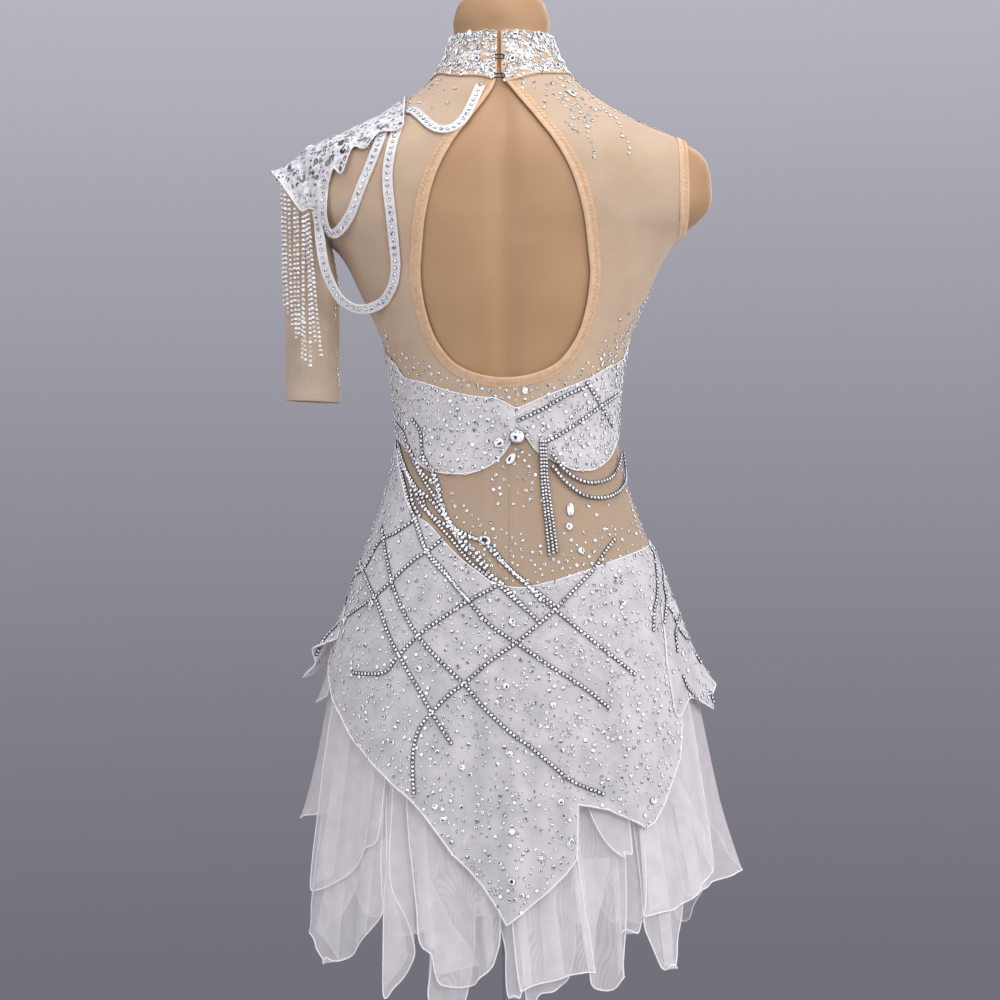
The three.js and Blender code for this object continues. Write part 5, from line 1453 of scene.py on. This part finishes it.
# Chains that hang from the band on the bare back, as [turn, z, height over the form]
HUNG_CHAINS = {
    "tassel_1": [(21.5, 1036, 7.2), (21.5, 1019, 7.2), (21, 1000, 5), (20.5, 965, 5), (20, 926, 5)],
    "tassel_2": [(24.6, 1036, 7.2), (24.6, 1019, 7.2), (24.4, 1000, 5), (24.2, 965, 5), (24, 929, 5)],
    "swag_upper": [
        (29, 1022, 7.4), (33, 1011, 6.6), (39, 1001, 5.5), (46, 995, 5.5), (54, 995, 5.5), (63, 1000, 5.5),
        (71, 1010, 5.6), (77, 1022, 6.4),
    ],
    "swag_lower": [
        (28.5, 1011, 5.6), (33, 999, 5.5), (40, 986, 5.5), (47, 980, 5.5), (56, 980, 5.5), (66, 986, 5.5),
        (76, 996, 5.5), (83, 1008, 5.7), (86, 1024, 6.5),
    ],
}
CHAIN_PITCH, CHAIN_RADIUS = 4.1, 2.25
TASSEL_PITCH, TASSEL_RADIUS = 3.5, 1.75
CHAIN_SINK = 0.8


def hung_line(turn, z, out):
    """Line of a chain's cups over the form, and the normals that they stand along."""
    normals = smooth_path(form_normal(turn, z), 8)
    return smooth_path(over_form(turn, z, out), 8) - normals * CHAIN_SINK, normals


def hung_chains(rng):
    tassel = Batch()
    for share in (0, 0.5, 1):
        left, right = (np.array(HUNG_CHAINS[name], float).T for name in ("tassel_1", "tassel_2"))
        chain(tassel, *hung_line(*mix(left, right, share)), TASSEL_PITCH, TASSEL_RADIUS, rng)
    finish_piece("tassel_chains", tassel, STONES, ["tassel_back"], smooth=0)
    for name in ("swag_upper", "swag_lower"):
        batch = Batch()
        chain(batch, *hung_line(*np.array(HUNG_CHAINS[name], float).T), CHAIN_PITCH, CHAIN_RADIUS, rng)
        finish_piece(name + "_chain", batch, STONES, [name], smooth=0)


# Chains sewn to the cloth, as pixels of the photograph
LATTICE_PX = [
    [(398, 454), (409, 504), (417, 522), (428, 554), (448, 577), (468, 600), (489, 624), (516, 643),
     (550, 666),
     (583, 687), (608, 707)],
    [(382, 527), (391, 577), (402, 608), (418, 636), (441, 662), (464, 684), (484, 708), (513, 735),
     (529, 746),
     (554, 767), (573, 782), (603, 794)],
    [(359, 560), (370, 587), (378, 603), (389, 635), (400, 657), (418, 688), (432, 713), (451, 743)],
    [(500, 561), (520, 578), (535, 593), (555, 610), (583, 633), (608, 653), (634, 674)],
    [(500, 581), (517, 600), (540, 623)],
    [(328, 601), (341, 589), (357, 560)],
    [(351, 576), (365, 568), (380, 542), (396, 533), (416, 519)],
    [(314, 659), (322, 643), (341, 622), (362, 606), (375, 597), (392, 581), (413, 561), (428, 551),
     (442, 540)],
    [(354, 673), (370, 674), (386, 672), (398, 657), (418, 636), (441, 619), (469, 601), (495, 587)],
    [(414, 793), (413, 759), (418, 732), (430, 715), (449, 695), (465, 683), (489, 662), (516, 643),
     (539, 624),
     (555, 610), (571, 593), (593, 570), (604, 553), (614, 540)],
    [(649, 546), (653, 553), (655, 561), (656, 572), (657, 584), (656, 600), (654, 609), (653, 630)],
    [(661, 566), (663, 575), (663, 584), (666, 601), (665, 612), (664, 622)],
    [(667, 606), (672, 613), (678, 628), (686, 639), (693, 650), (700, 662)],
    [(680, 604), (680, 613), (678, 622), (675, 633), (677, 651)],
    [(683, 677), (687, 687), (693, 694), (699, 702), (705, 708)],
    [(396, 444), (402, 471), (410, 505), (416, 523), (425, 548), (443, 569), (457, 588), (468, 600)],
    [(399, 444), (406, 468), (415, 485), (423, 498), (428, 512), (453, 541), (471, 563), (494, 581),
     (508, 594),
     (524, 608)],
    [(393, 420), (404, 433), (410, 453), (417, 467), (426, 483), (443, 510), (448, 523), (454, 534),
     (467, 548)],
    [(413, 420), (421, 433), (423, 454), (432, 472), (437, 488), (442, 507), (453, 527), (489, 546),
     (506, 565),
     (520, 578), (536, 591), (554, 605)],
]
BAND_CHAINS_PX = [
    [(519, 420), (541, 410), (567, 395), (589, 386)],
    [(587, 383), (601, 406), (612, 426)],
    [(541, 444), (559, 435), (576, 424), (601, 406), (617, 395)],
]


def sewn_chains(rng):
    tree = dress_tree()
    for name, lines in (("hip_lattice_chains", LATTICE_PX), ("band_chains", BAND_CHAINS_PX)):
        batch = Batch()
        for pixels in lines:
            points, normals = laid_line(tree, pixels)
            chain(batch, points, normals, CHAIN_PITCH, CHAIN_RADIUS, rng)
        finish_piece(name, batch, STONES, smooth=0)


# Large stones: shape, pixel, radius, stretch, and the way that the long side lies as (across, up)
GEMS_PX = [
    ("oval", (571, 94), 3.4, 1.9, (0.75, -1)), ("round", (525, 391), 3.6, 1, (1, 0)),
    ("oval", (511, 459), 4.2, 1.7, (0.7, 0.7)), ("square", (499, 443), 5.0, 1.1, (1, 0.2)),
    ("oval", (485, 541), 5.0, 1.3, (1, -0.5)), ("oval", (570, 510), 4.2, 1.8, (0.2, 1)),
    ("round", (569, 527), 4.0, 1, (1, 0)), ("round", (581, 551), 3.6, 1, (1, 0)),
]
# Larger round stones on the hips, and the middles of groups of small stones
HIP_GEMS_PX = [
    (512, 622), (605, 624), (506, 687), (553, 705), (512, 832), (512, 882), (462, 768), (419, 669),
    (623, 603),
    (510, 754), (435, 807), (443, 820), (653, 801), (561, 802), (345, 622), (372, 604),
]
GROUPS_PX = [
    (488, 652), (573, 643), (582, 658), (629, 652), (500, 703), (528, 708), (479, 735), (570, 751),
    (614, 738),
    (567, 733), (579, 720), (549, 727), (515, 796), (573, 840), (542, 858), (477, 873), (470, 864),
    (494, 892),
]
GROUP_RINGS = [(4.4, 8), (2.0, 3)]
CENTRE_STONE = (6.5, 1041, 7.4)


def gems(rng):
    tree = dress_tree()
    batch = Batch()
    for shape, pixel, radius, stretch, way in GEMS_PX:
        points, normals = laid(tree, [pixel])
        along = np.array([[way[0], 0.0, way[1]]])
        copies(batch, SQUARE_GEM if shape == "square" else GEM, points, normals, radius, rng, 0, "stone",
               stretch, along)
    finish_piece("back_gems", batch, STONES, smooth=0)
    batch = Batch()
    points, normals = laid(tree, HIP_GEMS_PX)
    copies(batch, GEM, points, normals, rng.choice([3.2, 3.7], len(points)), rng, 0, "stone")
    spots = []
    for centre in GROUPS_PX:
        for reach, count in GROUP_RINGS:
            angle = np.linspace(0, 2 * np.pi, count, endpoint=False) + rng.uniform(0, 6)
            ring = np.stack([np.cos(angle), np.sin(angle)], 1) * reach + rng.uniform(-0.4, 0.4, (count, 2))
            spots += list(np.array(centre) + ring)
    points, normals = laid(tree, spots)
    copies(batch, SMALL_STONE, points, normals, 1.15, rng, 0, "stone")
    finish_piece("hip_gems", batch, STONES, smooth=0)
    turn, z, radius = CENTRE_STONE
    seat = over_form(turn, z, WHITE[0] + 1.5)[None]
    batch = Batch()
    copies(batch, GEM, seat, form_normal(turn, z)[None], radius, rng, 0, "stone")
    finish_piece("centre_gem", batch, STONES, ["centre_stone"], smooth=0)


# Stones sewn on the nude mesh, as pixels of the photograph: trails of stones at an even pitch, and patches
# with a number of stones strewn in them
TRAILS_PX = [
    [(523, 74), (523, 88)], [(533, 75), (534, 87)], [(547, 84), (546, 98), (544, 107)],
    [(553, 78), (552, 86), (554, 94), (562, 102)], [(565, 76), (564, 87), (565, 97), (572, 108), (571, 115)],
    [(571, 80), (575, 88), (577, 106), (582, 112), (586, 118), (587, 130), (590, 141), (593, 147),
     (594, 157)],
    [(571, 75), (578, 86), (588, 93), (597, 101), (607, 107), (618, 112), (627, 118), (641, 122),
     (651, 127), (664, 132)],
    [(600, 104), (607, 113), (614, 118), (619, 124), (622, 130), (620, 136), (627, 137), (629, 145),
     (629, 153)],
    [(588, 114), (593, 109), (597, 115)], [(578, 132), (571, 126), (566, 122)],
    [(436, 74), (428, 79), (421, 84), (413, 91), (406, 98)], [(441, 80), (434, 85), (429, 89)],
    [(655, 290), (648, 305), (640, 322), (632, 342), (625, 362), (619, 382)],
    [(646, 298), (637, 314), (628, 332), (618, 350), (610, 366)],
    [(629, 482), (633, 503), (640, 523), (646, 540)], [(622, 470), (626, 490), (633, 512), (639, 532)],
    [(385, 330), (388, 345), (392, 362)],
]
PATCHES_PX = [
    (90, 6.0, [(392, 350), (404, 352), (430, 362), (455, 378), (500, 388), (545, 386), (580, 370), (600, 350),
               (612, 356), (606, 378), (588, 386), (562, 392), (528, 400), (505, 401), (480, 391), (450, 384),
               (415, 379), (396, 372)]),
    (55, 6.0, [(598, 345), (620, 318), (640, 305), (650, 300), (640, 330), (628, 360), (618, 384),
               (604, 382)]),
    (34, 6.0, [(482, 452), (500, 446), (528, 450), (536, 470), (534, 500), (516, 516), (496, 506),
               (486, 480)]),
    (75, 5.6, [(426, 478), (444, 486), (466, 508), (494, 524), (520, 534), (545, 548), (560, 562), (545, 582),
               (520, 586), (500, 580), (478, 556), (456, 536), (440, 516), (430, 498)]),
    (50, 6.5, [(556, 560), (580, 540), (606, 528), (634, 520), (652, 546), (640, 556), (600, 568),
               (566, 580)]),
    (12, 9.0, [(540, 500), (600, 500), (630, 510), (620, 530), (580, 540), (548, 545)]),
    (8, 9.0, [(415, 84), (436, 78), (462, 84), (455, 100), (436, 110), (418, 104)]),
    (34, 5.2, [(553, 78), (572, 76), (592, 94), (602, 108), (594, 128), (577, 132), (566, 112)]),
    (18, 4.8, [(412, 90), (436, 76), (440, 82), (420, 96), (408, 104)]),
]
# Larger pearly stones in lines over the left of the waist
WAIST_LINES_PX = [
    [(395, 442), (402, 464), (414, 487), (421, 504), (430, 514), (438, 521), (452, 530), (463, 547),
     (476, 559),
     (490, 574), (500, 583)],
    [(409, 447), (416, 461), (425, 476), (437, 485), (440, 495), (445, 512), (452, 525), (458, 533),
     (471, 538),
     (483, 542), (492, 552), (504, 564), (516, 576), (528, 586), (540, 600)],
    [(421, 457), (432, 469), (437, 480), (440, 490)], [(399, 450), (406, 468), (411, 485), (413, 502),
                                                       (420, 516)],
    [(414, 487), (425, 495), (433, 502), (440, 512), (449, 521), (456, 531), (466, 542), (477, 554),
     (487, 566)],
]
SLEEVE_TRAILS_PX = [[(336, 262), (339, 280), (337, 300), (334, 320)], [(336, 352), (338, 386)]]


def sprinkled(outline, count, gap, rng):
    """Random pixels inside an outline, at least a gap apart."""
    edge = np.array(outline, float)
    after = np.roll(edge, -1, 0)
    taken = []
    for _ in range(count * 40):
        spot = rng.uniform(edge.min(0), edge.max(0))
        crosses = (edge[:, 1] > spot[1]) != (after[:, 1] > spot[1])
        rise = np.where(after[:, 1] == edge[:, 1], 1, after[:, 1] - edge[:, 1])
        at = edge[:, 0] + (after[:, 0] - edge[:, 0]) * (spot[1] - edge[:, 1]) / rise
        if (crosses & (at > spot[0])).sum() % 2 and all(np.hypot(*(spot - other)) > gap for other in taken):
            taken.append(spot)
            if len(taken) == count:
                break
    return taken


def mesh_stones(rng):
    batch = Batch()
    for tree, trails, patches in (
            (dress_tree(), TRAILS_PX, PATCHES_PX), (tree_of(["sleeve"]), SLEEVE_TRAILS_PX, [])):
        spots = []
        for trail in trails:
            line = resampled(np.array(trail, float), 5.3)
            spots += list(line + rng.uniform(-0.7, 0.7, line.shape))
        for count, gap, outline in patches:
            spots += sprinkled(outline, count, gap, rng)
        points, normals = laid(tree, spots)
        radii = rng.choice([1.4, 1.7, 2.0, 2.2], len(points))
        copies(batch, STONE, points, normals, radii, rng, 0, "stone")
    finish_piece("mesh_stones", batch, STONES, smooth=0)
    batch = Batch()
    tree = dress_tree()
    for line in WAIST_LINES_PX:
        points, normals = laid_line(tree, line)
        path = resampled(np.concatenate([points, normals], 1), 5.2)
        copies(batch, CUP, path[:, :3], unit(path[:, 3:]), 2.4, rng, 1, "metal")
        copies(batch, STONE, path[:, :3] + path[:, 3:] * 0.6, unit(path[:, 3:]), 2.2, rng, 0, "bright")
    finish_piece("waist_stones", batch, STONES, smooth=0)


def hooks():
    wire, out = 0.7, 1.9 + 1.5 + 2 * SEAM + 0.7
    for k, z in enumerate((1414, 1393)):
        corners = np.array([(-4.5, 2), (0, 2.1), (4, 2), (5, 0), (4, -2), (0, -2.1), (-4.5, -2)], float)
        line = smooth_path(corners, 6)
        path = over_form(SLIT_TURN + line[:, 0], z + line[:, 1], out)
        finish_piece(f"hook_{k + 1}_wire", tube(Batch(), path, wire, 10), [METAL],
                     [f"hook_{k + 1}"])


def set_stones(name, fields):
    """One object of stones: fields are (outer grid, count, gap, sizes, keep, seed)."""
    batch = Batch()
    for outer, count, gap, sizes, keep, seed in fields:
        rng = np.random.default_rng(seed)
        spots, normals = scattered(outer, count, gap, rng, keep)
        radii = rng.choice(sizes, len(spots))
        small, large = radii <= SMALL_UP_TO, radii >= GEM_FROM
        for chosen, template, stretch in (
                (~small & ~large, STONE, 1), (small, SMALL_STONE, 1), (large, GEM, 1.3)):
            if chosen.any():
                copies(batch, template, spots[chosen], normals[chosen], radii[chosen], rng, 0, "stone",
                       stretch)
    return finish_piece(name, batch, STONES, smooth=0)


def grid_facing_out(outer):
    """Turns a grid's columns round where its cells would face in."""
    a, b, d = outer[:-1, :-1], outer[:-1, 1:], outer[1:, :-1]
    normal = np.cross(b - a, d - a)
    away = a.copy()
    away[..., 2] = 0
    return outer if (normal * away).sum() > 0 else outer[:, ::-1]


# Sky: colours from low to high, how far up and down they blend, and the curve of the blend
SKY_COLOURS = (113, 112, 120), (183, 182, 193)
SKY_REACH, SKY_CURVE = 0.19, 1.45
# Lamps: name, place and size in metres, power in watts, and colour
LAMPS = [
    ("key", (1.3, -2.3, 2.3), 1.4, 29, (1, 0.98, 0.95)),
    ("fill", (-1.9, -1.8, 1.4), 1.6, 16, (1, 0.985, 0.965)),
    ("side", (2.5, -0.7, 1.4), 1.5, 24, (1, 0.98, 0.95)),
    ("top", (0.1, -0.3, 2.9), 1.2, 16, (1, 0.99, 0.97)),
    ("back", (0.6, 2.3, 1.9), 1.6, 26, (1, 0.99, 0.97)),
]
# Radius of the floor, which lies just under the stand
FLOOR_RADIUS = 1600


def camera_and_lights():
    scene = bpy.context.scene
    data = bpy.data.cameras.new("camera")
    data.lens, data.sensor_width = LENS, 36
    data.clip_end = 30
    camera = bpy.data.objects.new("camera", data)
    camera.location = EYE * MM
    camera.rotation_euler = (math.radians(90), math.atan(LEAN), 0)
    scene.collection.objects.link(camera)
    scene.camera = camera
    scene.view_settings.view_transform = "Standard"
    world = bpy.data.worlds.new("studio")
    world.use_nodes = True
    tree = Nodes(world.node_tree)
    way = tree.add("TexCoord", {}).outputs["Generated"]
    height = tree.add("SeparateXYZ", {"Vector": way}).outputs["Z"]
    level = tree.ranged(height, from_min=-SKY_REACH, from_max=SKY_REACH)
    curve = tree.add("Math", {0: level, 1: SKY_CURVE}, operation="POWER").outputs["Value"]
    sky = world.node_tree.nodes["Background"]
    tree.links.new(tree.mixed(curve, *SKY_COLOURS), sky.inputs["Color"])
    sky.inputs["Strength"].default_value = 1.0
    scene.world = world
    for name, place, size, power, colour in LAMPS:
        light = bpy.data.lights.new(name, "AREA")
        light.size, light.energy, light.color = size, power, colour
        lamp = bpy.data.objects.new(name, light)
        lamp.location = place
        aim = Vector((0, 0, 1.0)) - Vector(place)
        lamp.rotation_euler = aim.to_track_quat("-Z", "Y").to_euler()
        scene.collection.objects.link(lamp)
    grain = [("grain", 4, 0.2, 0.2)]
    floor_paint = material("floor_paint", (214, 214, 218), (206, 206, 211), 300, 0.8, grain)
    mesh = bpy.data.meshes.new("floor")
    disc = lathe(Batch(), [(FLOOR_RADIUS, -3), (FLOOR_RADIUS, -0.1)], 96)
    mesh.from_pydata((np.concatenate(disc.points) * MM).tolist(), [], disc.faces)
    mesh.materials.append(floor_paint)
    floor = bpy.data.objects.new("floor", mesh)
    scene.collection.objects.link(floor)


def close_to(grid, count, gap, reach, seed):
    """Keeps spots that lie within reach of one of a number of random centres on a grid."""
    centres, _ = scattered(grid, count, gap, np.random.default_rng(seed))

    def keep(spots):
        return (np.linalg.norm(spots[:, None] - centres[None], axis=-1).min(1) < reach).astype(float)
    return keep


def above(level):
    """Keeps spots that lie over a level."""
    return lambda spots: (spots[:, 2] > level).astype(float)


camera_and_lights()
form_body()
stand()
nude_panels()
collar_band = collar()
bindings()
centre_seam()
sleeve()
band_left, band_right, band_front = (grid_facing_out(grid) for grid in bands())
hip_back, hip_front = (grid_facing_out(grid) for grid in hips())
petal_rng = np.random.default_rng(11)
petals = {row[0]: petal(*row, petal_rng) for row in PETALS}
cap = shoulder_cap()
bead_rng = np.random.default_rng(23)
fringe(bead_rng)
strap_stones = Batch()
for strap_name in STRAP_PATHS:
    strap(strap_name, strap_stones, bead_rng)
finish_piece("strap_stones", strap_stones, STONES, smooth=0)
hung_chains(bead_rng)
sewn_chains(bead_rng)
gems(bead_rng)
mesh_stones(bead_rng)
hooks()

BAND_SIZES, HIP_SIZES, SPECKS = [1.4, 1.9, 2.3, 2.6], [1.2, 1.4, 1.6, 1.9, 2.2, 2.5], [0.85, 1.05]
set_stones("band_stones", [
    (band_left, 360, 5.4, BAND_SIZES, None, 31), (band_right, 330, 5.4, BAND_SIZES, None, 32),
    (band_front, 460, 7.5, BAND_SIZES, None, 33), (band_left, 160, 2.8, SPECKS, None, 34),
    (band_right, 150, 2.8, SPECKS, None, 35),
])
set_stones("hip_stones", [
    (hip_back, 1650, 5.0, HIP_SIZES, None, 41), (hip_front, 900, 7.5, HIP_SIZES, None, 42),
    (hip_back, 620, 2.2, SPECKS, close_to(hip_back, 70, 22, 8, 44), 43),
    (hip_front, 240, 2.2, SPECKS, close_to(hip_front, 30, 30, 8, 46), 45),
    (grid_facing_out(petals["flap_right"]), 90, 6, HIP_SIZES, None, 47),
    (grid_facing_out(petals["flap_left"]), 50, 6, HIP_SIZES, None, 48),
])
crown = above(1296)
set_stones("cap_stones", [
    (cap, 420, 4.4, [1.4, 1.8, 2.3], None, 51), (cap, 130, 2.6, SPECKS, None, 52),
    (cap, 230, 5.0, [2.4, 2.7, 2.9, 3.3], crown, 53),
])
collar_out = grid_facing_out(collar_band)
set_stones("collar_stones", [
    (collar_out, 1080, 3.8, [1.5, 1.8, 2.1, 2.5], None, 61),
    (collar_out[-3:], 150, 3.2, [1.7, 2.1, 2.4], None, 62),
    (collar_out, 60, 9.0, [3.0, 3.4], None, 63),
])
